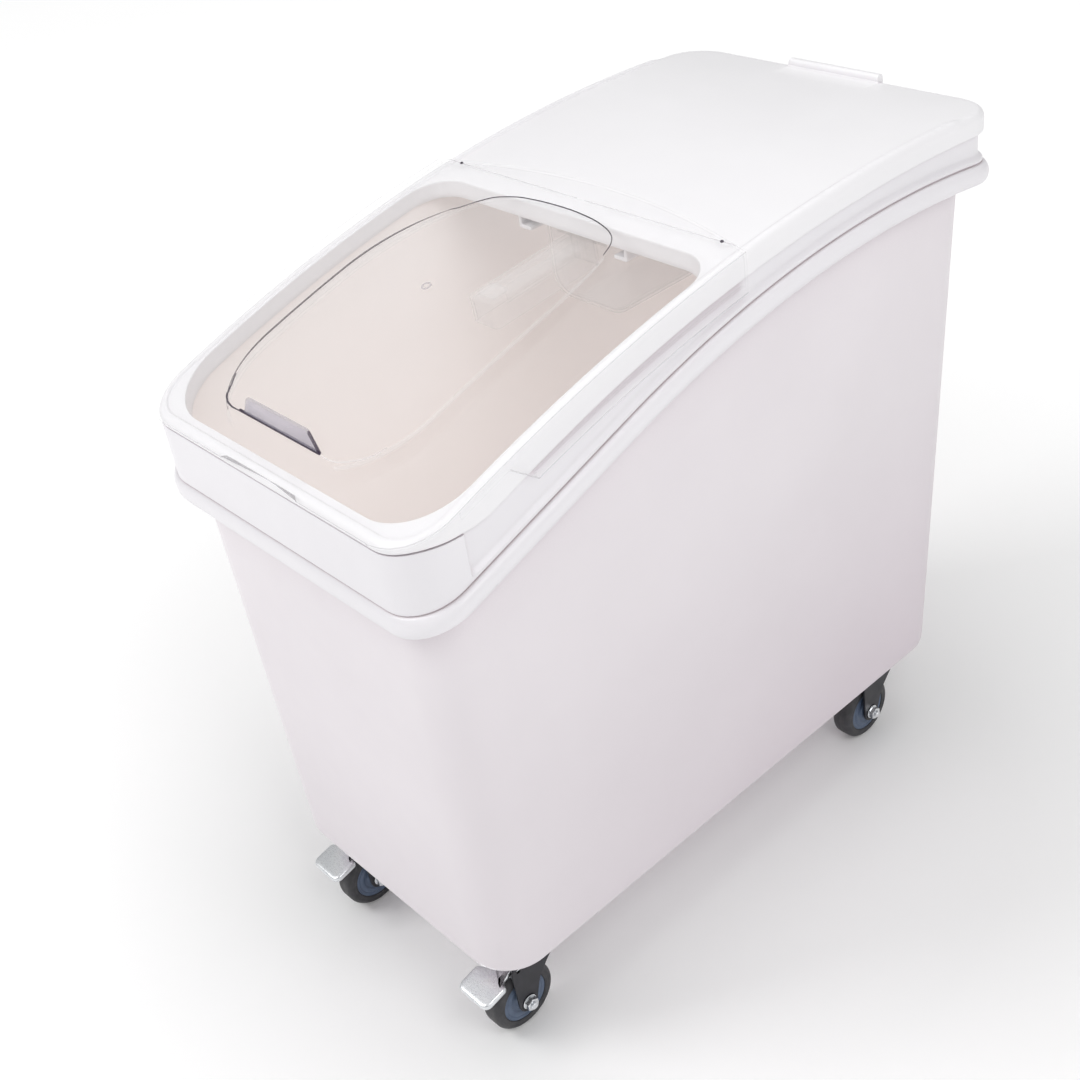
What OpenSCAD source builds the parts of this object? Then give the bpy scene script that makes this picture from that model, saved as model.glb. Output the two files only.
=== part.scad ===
// Rolling ingredient bin: tapered tub on four swivel casters, one-piece lid with a front opening,
// clear front lid that slides back along the lid's arc, and a scoop hung under the lid's crossbar.
// Front of the bin faces -Y, the floor is Z = 0, and the origin is under the middle of the bin.

/* [Overall] */
// Length over the bead, front to rear
bin_l = 756; // [740:1:780]
// Width over the bead
bin_w = 407; // [395:1:425]
// Height of the lid's highest line above the floor
bin_h = 755.5; // [745:0.5:775]

/* [Lid] */
// Radius of the lid's curve, seen from the side
lid_arc_r = 1620; // [1560:10:1700]
// Place of the curve's highest line, along the length
lid_apex_y = 206; // [196:1:216]
// Corner radius of the lid in plan
lid_corner_r = 45; // [40:1:52]
// Thickness of the lid's panel and lip
lid_t = 4; // [3.6:0.1:4.4]
// Depth of the lid's lip at the rear
lip_h = 22.5; // [21:0.5:24]
// Extra depth of the lip at the front
lip_front_extra = 9; // [7:0.5:10]
// Depth of the flange round the front opening
opening_flange_h = 18; // [16:0.5:19]
// Height of the stop tab at the lid's rear edge
stop_tab_h = 6; // [5:0.5:7]

/* [Tub] */
// Wall thickness of the tub
tub_wall = 4.5; // [4:0.1:5]
// Height of the tub's underside above the floor
tub_floor_z = 120; // [118:1:124]
// Thickness of the tub's floor
tub_floor_t = 9; // [8.5:0.5:11]
// Corner radius of the tub's walls
tub_corner_r = 49; // [44:1:54]
// How far each side wall leans in from the bead down to the floor
side_draft = 12; // [9:0.5:15]
// How far the rear wall leans in from the bead down to the floor
rear_draft = 23; // [18:0.5:27]
// Height of the half-round bead
bead_h = 20; // [18:0.5:22]
// How far the bead stands out from the collar at the sides
bead_reach = 7; // [5.5:0.5:8]
// How far the bead stands out from the collar at the front and rear
bead_end_reach = 3.6; // [2.5:0.1:5]

/* [Clear lid] */
// Thickness of the clear sheet
sheet_t = 2.6; // [2.2:0.1:3]
// Height of the raised middle of the clear lid
plateau_h = 14; // [11:0.5:16]
// Height of the upright grip rib over the raised middle
grip_h = 17; // [14:0.5:20]
// Gap between the clear lid's skirt and the lid's lip
skirt_gap = 1.2; // [0.8:0.1:1.6]

/* [Scoop] */
// Outer width of the scoop's bowl
scoop_w = 104; // [96:1:108]
// Depth of the scoop's bowl
scoop_h = 78; // [70:1:84]
// Length of the scoop's bowl
scoop_l = 140; // [125:1:150]
// Wall thickness of the scoop
scoop_t = 2.4; // [2:0.1:3]

/* [Casters] */
// Wheel diameter
wheel_d = 76; // [74:1:78]
// Tread width
wheel_w = 24; // [22:1:25]
// Distance between the left and right swivel axes
caster_track = 249; // [243:1:255]
// Place of the front swivel axes along the length
front_caster_y = -284; // [-288:1:-280]
// Place of the rear swivel axes along the length
rear_caster_y = 272; // [266:1:276]
// Offset of the axle from the swivel axis
caster_trail = 30; // [28:1:32]
// Axle diameter
axle_d = 8; // [7:0.5:9]

/* [Hidden] */
$fn = 64;
eps = 0.01;
running_gap = 0.05;
body_gap = 0.3;

// Colours
white = [0.95, 0.95, 0.95];
clear = [0.85, 0.88, 0.92, 0.35];
zinc = [0.78, 0.79, 0.8];
black = [0.07, 0.07, 0.08];
slate = [0.27, 0.31, 0.38];

// Plan sizes worked out from the overall size
half_l = bin_l / 2;
half_w = bin_w / 2;
lid_hw = half_w - bead_reach;
lid_hl = half_l - bead_end_reach;
rim_gap = 0.8;
rim_hw = lid_hw - lid_t - rim_gap;
rim_t = 5.2;
rim_ledge = 0.3;
wall_side_inset = 9.3;
wall_front_inset = 15.4;
wall_rear_inset = 25.4;
front_draft = 2;
wall_top_hw = lid_hw - wall_side_inset;
wall_front_y = -lid_hl + wall_front_inset;
wall_rear_y = lid_hl - wall_rear_inset;
floor_hw = wall_top_hw - side_draft;
floor_front_y = wall_front_y + front_draft;
floor_rear_y = wall_rear_y - rear_draft;
bottom_r = 12;

// Lid curve: height at a plan place y for an offset d from the crown
arc_cz = bin_h - lid_arc_r;
function arc_z(y, d) = arc_cz + sqrt(pow(lid_arc_r + d, 2) - pow(y - lid_apex_y, 2));

// Lower edge of the lip: deeper towards the front, then sweeping up round the front corners
lip_even_y = 10;
lip_rise = 25;
lip_rise_l = 2 * lid_corner_r;
lip_rise_y = -lid_hl + lip_rise_l;
function ease(t) = let (u = max(0, min(1, t))) u * u * (3 - 2 * u);
function front_share(y) = pow(min(1, max(0, (lip_even_y - y) / (half_l + lip_even_y))), 2);
function lip_d(y) = -lip_h - lip_front_extra * front_share(y)
    + lip_rise * ease((lip_rise_y - y) / lip_rise_l);

// Lower edge of the bead: an arc that runs into a straight slope at the front
bead_arc_r = 1068;
bead_apex_y = 186;
bead_tangent_y = -145;
bead_below_lid = 66.3;
bead_top_z = bin_h - bead_below_lid;
bead_slope = tan(asin((bead_apex_y - bead_tangent_y) / bead_arc_r));
function bead_arc_z(y) = bead_top_z - bead_arc_r + sqrt(pow(bead_arc_r, 2) - pow(y - bead_apex_y, 2));
function bead_z(y) = y > bead_tangent_y
    ? bead_arc_z(y)
    : bead_arc_z(bead_tangent_y) - bead_slope * (bead_tangent_y - y);

// Closed loop of a rounded rectangle: corners of corner_n steps, side_share and edge_share between them.
// The first side_share steps leave room for the end of the groove just behind the front corners.
corner_n = 7;
side_share = [0.0125, 0.0155, 0.05, 0.11, 0.18, 0.26, 0.34, 0.42, 0.5, 0.58, 0.66, 0.75, 0.84, 0.93];
tab_hw = 57;
tab_side_w = 1.2;
edge_hw = lid_hw - lid_corner_r;
edge_share = [(tab_hw + tab_side_w) / edge_hw, tab_hw / edge_hw, -tab_hw / edge_hw, -(tab_hw + tab_side_w) / edge_hw];
function arc_points(cx, cy, r, a0) = [
    for (i = [0 : corner_n])
        [cx + r * cos(a0 + 90 * i / corner_n), cy + r * sin(a0 + 90 * i / corner_n)]
];
function loop_two(hw, yf, yr, rf, rr) = let (side_l = yr - yf - rf - rr) concat(
    arc_points(hw - rf, yf + rf, rf, -90),
    [for (s = side_share) [hw, yf + rf + s * side_l]],
    arc_points(hw - rr, yr - rr, rr, 0),
    [for (s = edge_share) [s * (hw - rr), yr]],
    arc_points(-hw + rr, yr - rr, rr, 90),
    [for (i = [len(side_share) - 1 : -1 : 0]) [-hw, yf + rf + side_share[i] * side_l]],
    arc_points(-hw + rf, yf + rf, rf, 180),
    [for (i = [len(edge_share) - 1 : -1 : 0]) [edge_share[i] * (hw - rf), yf]]
);
function loop_xy(hw, yf, yr, r) = loop_two(hw, yf, yr, r, r);
loop_n = 4 * (corner_n + 1) + 2 * len(side_share) + 2 * len(edge_share);
side_first = corner_n + 1;
side_last = loop_n - len(edge_share) - (corner_n + 1);

// Loop points from the first groove step on the right, over the rear, to the one on the left
function in_groove(i) = i > side_first && i < side_last - 1;

// Two triangles for each cell of a grid of loops, from loop a to loop b
function band(a, b, n) = [
    for (i = [0 : n - 1])
        let (j = (i + 1) % n)
        for (f = [[a * n + i, b * n + j, a * n + j], [a * n + i, b * n + i, b * n + j]]) f
];

// Solid from loops stacked from the outer bottom over the rim to the inner floor, each floor fanned from its middle
function middle(loop) = let (ys = [for (p = loop) p.y]) [0, (min(ys) + max(ys)) / 2, loop[0].z];
module cup_solid(loops) {
    n = len(loops[0]);
    last = len(loops) - 1;
    under = (last + 1) * n;
    inside = under + 1;
    points = concat([for (loop = loops) for (p = loop) p], [middle(loops[0]), middle(loops[last])]);
    faces = concat(
        [for (k = [0 : last - 1]) for (f = band(k, k + 1, n)) f],
        [for (i = [0 : n - 1]) [under, i, (i + 1) % n]],
        [for (i = [0 : n - 1]) [inside, last * n + (i + 1) % n, last * n + i]]
    );
    polyhedron(points, faces, convexity = 8);
}

// Ring-shaped solid from loops that close on themselves
module ring_solid(loops) {
    n = len(loops[0]);
    points = [for (loop = loops) for (p = loop) p];
    faces = [for (k = [0 : len(loops) - 1]) for (f = band(k, (k + 1) % len(loops), n)) f];
    polyhedron(points, faces, convexity = 10);
}

// Tub wall between floor and bead at a share of its height
function wall_loop(share, inset, r) = loop_xy(
    floor_hw + (wall_top_hw - floor_hw) * share - inset,
    floor_front_y + (wall_front_y - floor_front_y) * share + inset,
    floor_rear_y + (wall_rear_y - floor_rear_y) * share - inset,
    r
);
function flat(loop, z) = [for (p = loop) [p.x, p.y, z]];
function collar_loop(inset) = loop_xy(lid_hw - inset, -lid_hl + inset, lid_hl - inset, lid_corner_r - inset);

// Half-round bead: places of its rows as share of reach and share of height
bead_rows = 6;
function bead_loop(out) = loop_xy(lid_hw + bead_reach * out, -lid_hl - bead_end_reach * out,
    lid_hl + bead_end_reach * out, lid_corner_r + bead_end_reach * out);
function bead_row(k) = let (a = -90 + 180 * k / bead_rows)
    [for (p = bead_loop(cos(a))) [p.x, p.y, bead_z(p.y) + bead_h * (1 + sin(a)) / 2]];

// Groove under the lip: a slanted ledge over the bead, then the recessed wall up to the lip
ledge_low = 4;
ledge_high = 8;
groove_depth = lid_hw - rim_hw;
function groove_xy(cut) = let (outer = collar_loop(0), inner = collar_loop(groove_depth))
    [for (i = [0 : loop_n - 1]) cut && in_groove(i) ? inner[i] : outer[i]];
function ledge_loop(cut, up) = [for (p = groove_xy(cut)) [p.x, p.y, bead_z(p.y) + bead_h + up]];
function lip_foot_loop() = [for (p = groove_xy(true)) [p.x, p.y, arc_z(p.y, lip_d(p.y) - rim_gap)]];
function rim_loop(inset, d) = [
    for (p = collar_loop(groove_depth + inset)) [p.x, p.y, arc_z(p.y, d)]
];
function rim_foot_loop(inset) = [
    for (p = collar_loop(groove_depth + inset)) [p.x, p.y, arc_z(p.y, lip_d(p.y) - rim_gap)]
];
rim_below_panel = 1.4;
rim_depth_over = 2.5;
rim_top_d = -lid_t - rim_below_panel;
rim_low_d = -lip_h - rim_depth_over;
// Share of the bottom edge's rounding at its middle row
round_mid = 0.3;

tub_loops = concat(
    [flat(wall_loop(0, bottom_r, tub_corner_r - bottom_r), tub_floor_z)],
    [flat(wall_loop(0, bottom_r * round_mid, tub_corner_r - bottom_r * round_mid), tub_floor_z + bottom_r * round_mid)],
    [flat(wall_loop(0, 0, tub_corner_r), tub_floor_z + bottom_r)],
    [[for (p = wall_loop(1, 0, tub_corner_r)) [p.x, p.y, bead_z(p.y)]]],
    [for (k = [0 : bead_rows]) bead_row(k)],
    [ledge_loop(false, ledge_low)],
    [ledge_loop(true, ledge_high)],
    [lip_foot_loop()],
    [rim_foot_loop(rim_ledge)],
    [rim_loop(rim_ledge, rim_top_d)],
    [rim_loop(rim_t, rim_top_d)],
    [rim_loop(rim_t, rim_low_d - lip_front_extra)],
    [[for (p = wall_loop(1, tub_wall, tub_corner_r - tub_wall)) [p.x, p.y, bead_z(p.y)]]],
    [flat(wall_loop(0, tub_wall, tub_corner_r - tub_wall), tub_floor_z + tub_floor_t + bottom_r)],
    [flat(wall_loop(0, tub_wall + bottom_r * round_mid, tub_corner_r - tub_wall - bottom_r * round_mid),
        tub_floor_z + tub_floor_t + bottom_r * round_mid)],
    [flat(wall_loop(0, tub_wall + bottom_r, tub_corner_r - tub_wall - bottom_r), tub_floor_z + tub_floor_t)]
);

// Casters: places, bolts and heights
caster_y = [front_caster_y, front_caster_y, rear_caster_y, rear_caster_y];
caster_x = [-caster_track / 2, caster_track / 2, -caster_track / 2, caster_track / 2];
plate_t = 3.5;
plate_z = tub_floor_z - plate_t;
bolt_dx = 21;
bolt_dy = 24;
bolt_d = 6;
insert_d = 9;
insert_l = 7.5;
washer_d = 12;
washer_t = 1.2;
bolt_head_af = 10;
bolt_head_h = 4;
bolt_play = 0.6;
bolt_short = 1;
kingpin_short = 0.5;
skirt_lift = 1.2;

module at_casters() {
    for (k = [0 : 3])
        translate([caster_x[k], caster_y[k], 0]) children();
}

module at_bolts() {
    at_casters()
        for (sx = [-1, 1], sy = [-1, 1])
            translate([sx * bolt_dx, sy * bolt_dy, 0]) children();
}

module hex(af, h) {
    cylinder(d = af / cos(30), h = h, $fn = 6);
}

module tub() {
    color(white) difference() {
        cup_solid(tub_loops);
        at_bolts()
            translate([0, 0, tub_floor_z - 1]) cylinder(d = insert_d, h = insert_l + 1);
    }
}

module threaded_inserts() {
    color("goldenrod") at_bolts() translate([0, 0, tub_floor_z]) difference() {
        cylinder(d = insert_d, h = insert_l);
        translate([0, 0, -1]) cylinder(d = bolt_d, h = insert_l + 2);
    }
}

module caster_washers() {
    color(zinc) at_bolts() translate([0, 0, plate_z - washer_t]) difference() {
        cylinder(d = washer_d, h = washer_t);
        translate([0, 0, -1]) cylinder(d = bolt_d, h = washer_t + 2);
    }
}

module caster_bolts() {
    shank = washer_t + plate_t + insert_l - bolt_short;
    color(zinc) at_bolts() translate([0, 0, plate_z - washer_t]) {
        cylinder(d = bolt_d, h = shank);
        translate([0, 0, -bolt_head_h]) hex(bolt_head_af, bolt_head_h);
    }
}

// One-piece lid: outer lip, crown, recessed panel, flanged front opening and rear stop tab
ring_side_w = 14.4;
ring_front_w = 18.6;
opening_hw = lid_hw - ring_side_w;
opening_front_y = -lid_hl + ring_front_w;
opening_rear_y = -15;
opening_front_r = 58;
opening_rear_r = 36;
panel_d = -2;
panel_thinning = 1.4;
underside_d = panel_d - lid_t + panel_thinning;
flange_t_open = 3.6;
opening_round = 3;
tab_depth = 12;
blend_n = 9;
// Rolled edge from the lip over the crown to the panel, as [inset, offset from the crown]
roll = [[0, -5.2], [1.2, -2.4], [3.4, -0.5], [5.5, 0], [8, -0.2]];
roll_end = 10;
function opening_xy(e) = loop_two(opening_hw + e, opening_front_y - e, opening_rear_y + e,
    opening_front_r + e, opening_rear_r + e);
function blend_xy(d, e, t) = let (a = collar_loop(d), b = opening_xy(e))
    [for (i = [0 : loop_n - 1]) a[i] * (1 - t) + b[i] * t];
function tab_rise(p) = p.y > lid_hl - tab_depth && abs(p.x) <= tab_hw + eps ? stop_tab_h : 0;
function on_arc(loop, d) = [for (p = loop) [p.x, p.y, arc_z(p.y, d)]];
function on_arc_tab(loop, d) = [for (p = loop) [p.x, p.y, arc_z(p.y, d + tab_rise(p))]];
function on_lip(loop) = [for (p = loop) [p.x, p.y, arc_z(p.y, lip_d(p.y))]];

lid_loops = concat(
    [on_lip(collar_loop(0))],
    [for (q = roll) on_arc_tab(collar_loop(q[0]), q[1])],
    [for (k = [0 : blend_n]) on_arc(blend_xy(roll_end, opening_round, k / blend_n), panel_d)],
    [on_arc(opening_xy(0), panel_d - opening_round)],
    [on_arc(opening_xy(0), -opening_flange_h)],
    [on_arc(opening_xy(flange_t_open), -opening_flange_h)],
    [for (k = [0 : blend_n]) on_arc(blend_xy(lid_t, flange_t_open, 1 - k / blend_n), underside_d)],
    [on_lip(collar_loop(lid_t))]
);

module lid() {
    color(white) ring_solid(lid_loops);
}

// Hooks under the crossbar that carry the scoop's rim flanges
flange_reach = 13;
flange_t = 3;
flange_drop = 0.6;
scoop_below_flange = 8;
scoop_side_gap = 3;
hook_setback = 4.2;
scoop_rim_z = arc_z(0, -opening_flange_h) - scoop_below_flange;
hook_t = 4;
hook_foot_z = scoop_rim_z - flange_drop - flange_t - body_gap;
hook_leg_x = scoop_w / 2 + flange_reach + scoop_side_gap;
hook_foot_x = scoop_w / 2 + scoop_side_gap;
hook_y0 = opening_rear_y + hook_setback;
hook_l = 34;
module scoop_hook(side) {
    hook_top_z = arc_z(hook_y0, underside_d) - eps;
    color(white) translate([0, hook_y0 + hook_l, 0]) rotate([90, 0, 0]) linear_extrude(hook_l) polygon([
        [side * hook_foot_x, hook_foot_z],
        [side * hook_leg_x, hook_foot_z],
        [side * hook_leg_x, hook_top_z],
        [side * (hook_leg_x + hook_t), hook_top_z],
        [side * (hook_leg_x + hook_t), hook_foot_z - hook_t],
        [side * hook_foot_x, hook_foot_z - hook_t]
    ]);
}

// Clear lid: stations along the length, each a closed section of points [x, offset from the crown]
skirt_in = lid_hw + skirt_gap;
skirt_out = skirt_in + sheet_t;
sheet_lo = 1;
sheet_hi = sheet_lo + sheet_t;
clear_front_inset = 0.5;
clear_front_y = -half_l + clear_front_inset;
clear_rear_y = 3;
tongue_y = 33;
tongue_hw = 181;
hook_front_y = -244;
hook_slant = 27;
hook_start_y = hook_front_y - hook_slant;
skirt_front_y = -322;
skirt_lip_d = 0.4;
skirt_short = 6;
hook_in = 4.6;
hook_bar_h = 6;
hook_above_ledge = 3.7;
hook_low_d = bead_h + ledge_high + hook_above_ledge - bead_below_lid;
skirt_foot = 0.4;
plateau_hw = 119;
plateau_front_inset = 25;
plateau_rear_inset = 25;
plateau_front_y = clear_front_y + plateau_front_inset;
plateau_rear_y = clear_rear_y - plateau_rear_inset;
plateau_corner_w = 60;
plateau_front_corner_l = 80;
plateau_rear_corner_l = 160;
plateau_slope = 4;
plateau_ramp = 4;
grip_base_hw = 55;
grip_top_hw = 44;
grip_t = 3;
grip_root = 2;
tongue_wide_y = 8;
station_gap = 0.5;
edge_round = 1.2;
under_inset = 0.6;

function corner_cut(v, r) = v >= r ? 0 : r - sqrt(max(0, r * r - (r - v) * (r - v)));
function clear_hw(y) = y > clear_rear_y + station_gap
    ? min(skirt_out, tongue_hw * sqrt((tongue_y - y) / (tongue_y - tongue_wide_y)))
    : skirt_out - corner_cut(y - clear_front_y, lid_corner_r + skirt_gap + sheet_t);
function has_bar(y) = y >= hook_front_y && y <= clear_rear_y - station_gap;
function is_deep(y) = y >= hook_front_y - station_gap && y <= clear_rear_y;
function slant_d(y) = -skirt_short
    + (hook_low_d + skirt_short) * share(y - hook_start_y, hook_slant - station_gap);
function skirt_d(y) = is_deep(y) ? hook_low_d
    : y >= skirt_front_y && y <= clear_rear_y ? slant_d(y) : skirt_lip_d;
function ellipse_cut(v, l) = let (u = 1 - min(1, max(0, v / l))) plateau_corner_w * (1 - sqrt(1 - u * u));
function plateau_x(y) = plateau_hw - max(ellipse_cut(y - plateau_front_y, plateau_front_corner_l),
    ellipse_cut(plateau_rear_y - y, plateau_rear_corner_l));
function share(v, l) = max(0, min(1, v / l));
function plateau_rise(y) = plateau_h * share(y - plateau_front_y, plateau_ramp)
    * sin(90 * share(plateau_rear_y - y, plateau_rear_corner_l));

// Right half of the section, from the middle out over the top and back along the underside
function clear_half(y) =
    let (
        w = clear_hw(y),
        inner = w - sheet_t,
        px = min(plateau_x(y), w * 0.7),
        foot = px + min(plateau_slope, w * 0.1),
        rise = plateau_rise(y),
        low = skirt_d(y),
        reach = has_bar(y) ? hook_in : skirt_foot,
        shelf = min(hook_bar_h, (sheet_lo - low) * 0.4)
    )
    [
        [[px, sheet_hi + rise], [foot, sheet_hi], [w - min(edge_round, w * 0.02), sheet_hi],
            [w, sheet_hi - min(edge_round, sheet_t * 0.4)], [w, low]],
        [[inner - reach, low], [inner - reach, low + shelf], [inner, low + shelf], [inner, sheet_lo],
            [foot - under_inset, sheet_lo], [px - under_inset, sheet_lo + rise]]
    ];
function flip(points) = [for (i = [len(points) - 1 : -1 : 0]) [-points[i][0], points[i][1]]];
function clear_section(y) = let (h = clear_half(y), half = concat(h[0], h[1]))
    [for (q = concat(half, flip(half))) [q[0], y, arc_z(y, q[1])]];

front_n = 8;
front_round = lid_corner_r + skirt_gap + sheet_t;
round_steps = [for (k = [0 : front_n]) clear_front_y + front_round * (1 - cos(90 * k / front_n)) + eps];
front_steps = concat(
    [for (y = round_steps) if (y < plateau_front_y - station_gap) y],
    [plateau_front_y, plateau_front_y + plateau_ramp],
    [for (y = round_steps)
        if (y > plateau_front_y + plateau_ramp + station_gap && y < skirt_front_y - 2 * station_gap) y]
);
arch_n = 7;
plateau_steps = [for (k = [1 : arch_n])
    plateau_front_y + plateau_ramp + (plateau_front_corner_l - plateau_ramp) * (1 - cos(90 * k / arch_n))];
arch_steps = [for (k = [arch_n : -1 : 1])
    plateau_rear_y - plateau_rear_corner_l * (1 - cos(90 * k / arch_n))];
tongue_n = 6;
tongue_steps = [for (k = [0 : tongue_n])
    clear_rear_y + station_gap + (tongue_y - clear_rear_y - 2 * station_gap) * sin(90 * k / tongue_n)];
middle_n = 4;
middle_steps = [for (k = [1 : middle_n]) hook_front_y + (arch_steps[0] - hook_front_y) * k / (middle_n + 1)];
clear_stations = concat(
    front_steps,
    [skirt_front_y - station_gap, skirt_front_y],
    [for (y = plateau_steps) if (y > skirt_front_y + station_gap && y < hook_start_y - 3 * station_gap) y],
    [hook_start_y],
    [for (y = plateau_steps) if (y > hook_start_y + 3 * station_gap && y < hook_front_y - 3 * station_gap) y],
    [hook_front_y - station_gap, hook_front_y],
    middle_steps,
    arch_steps,
    [plateau_rear_y, (plateau_rear_y + clear_rear_y) / 2, clear_rear_y - station_gap, clear_rear_y],
    tongue_steps
);

// End of a section: triangles between its upper chain and its under chain, on the right, the left and the middle
half_n = 11;
half_end = [[0, 1, 9], [0, 9, 10], [1, 2, 8], [1, 8, 9], [2, 3, 8], [3, 7, 8], [3, 4, 7], [4, 6, 7], [4, 5, 6]];
function mirrored(i) = 2 * half_n - 1 - i;
section_end = concat(
    half_end,
    [for (f = half_end) [mirrored(f[2]), mirrored(f[1]), mirrored(f[0])]],
    [[0, half_n - 1, half_n], [0, half_n, 2 * half_n - 1]]
);

// Upright grip rib: its ends lean in, and its root is sunk into the plateau's sheet
module grip_rib() {
    rib_y = plateau_front_y + plateau_ramp + grip_root;
    low = arc_z(rib_y, sheet_lo + plateau_h + sheet_t / 2);
    top = arc_z(rib_y, sheet_hi + plateau_h + grip_h);
    along_y(rib_y, grip_t)
        polygon([[-grip_base_hw, low], [grip_base_hw, low], [grip_top_hw, top], [-grip_top_hw, top]]);
}

// Shallow finger notch in the clear lid's front edge
finger_hw = 52;
finger_cut = 3.5;
finger_h = 40;
module finger_notch() {
    translate([-finger_hw, clear_front_y - finger_cut, arc_z(clear_front_y, sheet_lo) - finger_h / 2])
        cube([2 * finger_hw, 2 * finger_cut, finger_h]);
}

module clear_lid() {
    sections = [for (y = clear_stations) clear_section(y)];
    n = 2 * half_n;
    last = len(sections) - 1;
    points = [for (s = sections) for (p = s) p];
    faces = concat(
        [for (k = [0 : last - 1]) for (f = band(k, k + 1, n)) f],
        section_end,
        [for (f = section_end) [last * n + f[2], last * n + f[1], last * n + f[0]]]
    );
    color(clear) union() {
        difference() {
            polyhedron(points, faces, convexity = 10);
            finger_notch();
        }
        grip_rib();
    }
}

// Scoop: open-topped bowl with a slanted mouth, rim flanges and a channel handle
bowl_r = 26;
bowl_steps = 8;
scoop_front_y = 2;
mouth_slant = 32;
handle_w = 34;
handle_h = 26;
handle_l = 130;
handle_tilt = 5;
handle_drop = 4;
handle_end_t = 3;
cut_over = 2;
function bowl_points(w, h, r) = concat(
    [[-w / 2, h]],
    [for (i = [0 : bowl_steps]) let (a = 180 + 90 * i / bowl_steps) [-w / 2 + r + r * cos(a), r + r * sin(a)]],
    [for (i = [0 : bowl_steps]) let (a = 270 + 90 * i / bowl_steps) [w / 2 - r + r * cos(a), r + r * sin(a)]],
    [[w / 2, h]]
);
module along_y(y, l) {
    translate([0, y + l, 0]) rotate([90, 0, 0]) linear_extrude(l) children();
}
module at_handle() {
    translate([0, scoop_front_y + scoop_t, scoop_rim_z - handle_drop]) rotate([handle_tilt, 0, 0])
        translate([-handle_w / 2, -handle_l, -handle_h]) children();
}
module scoop() {
    low_z = scoop_rim_z - scoop_h;
    flange_in = scoop_w / 2 - scoop_t / 2;
    flange_w = flange_reach + scoop_t / 2;
    color(clear) difference() {
        union() {
            along_y(scoop_front_y, scoop_l) translate([0, low_z])
                polygon(bowl_points(scoop_w, scoop_h, bowl_r));
            for (x = [-flange_in - flange_w, flange_in])
                translate([x, scoop_front_y + scoop_t / 2, scoop_rim_z - flange_drop - flange_t])
                    cube([flange_w, scoop_l, flange_t]);
            at_handle() cube([handle_w, handle_l, handle_h]);
        }
        along_y(scoop_front_y + scoop_t, scoop_l + cut_over) translate([0, low_z + scoop_t])
            polygon(bowl_points(scoop_w - 2 * scoop_t, scoop_h + cut_over, bowl_r - scoop_t));
        at_handle() translate([scoop_t, handle_end_t, -cut_over])
            cube([handle_w - 2 * scoop_t, handle_l - 3 * handle_end_t, handle_h - scoop_t + cut_over]);
        translate([-scoop_w, scoop_front_y + scoop_l, low_z]) rotate([mouth_slant, 0, 0])
            translate([0, 0, -scoop_h]) cube([2 * scoop_w, 2 * scoop_l, 3 * scoop_h]);
    }
}

// Caster parts, drawn about a swivel axis at the origin
axle_z = wheel_d / 2;
wheel_side_gap = 3;
leg_in = wheel_w / 2 + wheel_side_gap;
leg_t = 3;
fork_below_tub = 18;
fork_top_z = tub_floor_z - fork_below_tub;
fork_plate_t = 4;
fork_r = 23;
kingpin_d = 10;
kingpin_head_d = 17;
kingpin_head_h = 4.3;
ball_d = 5.6;
ball_n = 12;
ball_circle_r = 15.5;
cup_r = 22;
cup_wall = 1.7;
plate_x = 58;
plate_y = 64;

module place(k) {
    translate([caster_x[k], caster_y[k], 0]) children();
}

module caster_plate() {
    color(black) difference() {
        translate([-plate_x / 2, -plate_y / 2, plate_z]) cube([plate_x, plate_y, plate_t]);
        translate([0, 0, plate_z - 1]) cylinder(d = kingpin_d, h = plate_t + 2);
        for (sx = [-1, 1], sy = [-1, 1])
            translate([sx * bolt_dx, sy * bolt_dy, plate_z - 1]) cylinder(d = bolt_d + bolt_play, h = plate_t + 2);
    }
}

// Upper race: a ring over the balls with a skirt round them
ball_z = fork_top_z + body_gap + ball_d / 2;
module swivel_race() {
    race_z = ball_z + ball_d / 2 + body_gap;
    color(zinc) rotate_extrude() polygon([
        [kingpin_d / 2, race_z],
        [cup_r - cup_wall, race_z],
        [cup_r - cup_wall, fork_top_z + skirt_lift],
        [cup_r, fork_top_z + skirt_lift],
        [cup_r, plate_z],
        [kingpin_d / 2, plate_z]
    ]);
}

module swivel_balls() {
    color(zinc)
        for (i = [0 : ball_n - 1])
            rotate(360 * i / ball_n) translate([ball_circle_r, 0, ball_z]) sphere(d = ball_d);
}

module kingpin() {
    head_z = fork_top_z - fork_plate_t - body_gap - kingpin_head_h;
    color(zinc) {
        translate([0, 0, head_z]) cylinder(d = kingpin_head_d, h = kingpin_head_h);
        translate([0, 0, head_z]) cylinder(d = kingpin_d, h = tub_floor_z - kingpin_short - head_z);
    }
}

// Fork: round top plate and two legs that lean forward to the axle
leg_boss_r = 12;
leg_front = 24;
leg_rear = 16;
leg_rear_low = 14;
leg_rear_drop = 14;
leg_heel = 8;
leg_heel_rise = 24;
leg_toe_rise = 14;
pin_y = -36;
pin_drop = 30;
pin_z = tub_floor_z - pin_drop;
pin_d = 5;
pin_ear = 8;
pin_ear_up = 4;
pin_ear_down = 6;
module leg_shape(braked) {
    difference() {
        union() {
            polygon([
                [leg_rear, fork_top_z],
                [-leg_front, fork_top_z],
                [pin_y - pin_ear, pin_z + pin_ear_up],
                [pin_y - pin_ear, pin_z - pin_ear_down],
                [-caster_trail - leg_boss_r, axle_z + leg_toe_rise],
                [-caster_trail - leg_boss_r, axle_z],
                [-caster_trail + leg_boss_r, axle_z],
                [-caster_trail + leg_boss_r + leg_heel, axle_z + leg_heel_rise],
                [leg_rear_low, fork_top_z - leg_rear_drop]
            ]);
            translate([-caster_trail, axle_z]) circle(leg_boss_r);
        }
        translate([-caster_trail, axle_z]) circle(d = axle_d);
        if (braked)
            translate([pin_y, pin_z]) circle(d = pin_d);
    }
}
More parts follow.
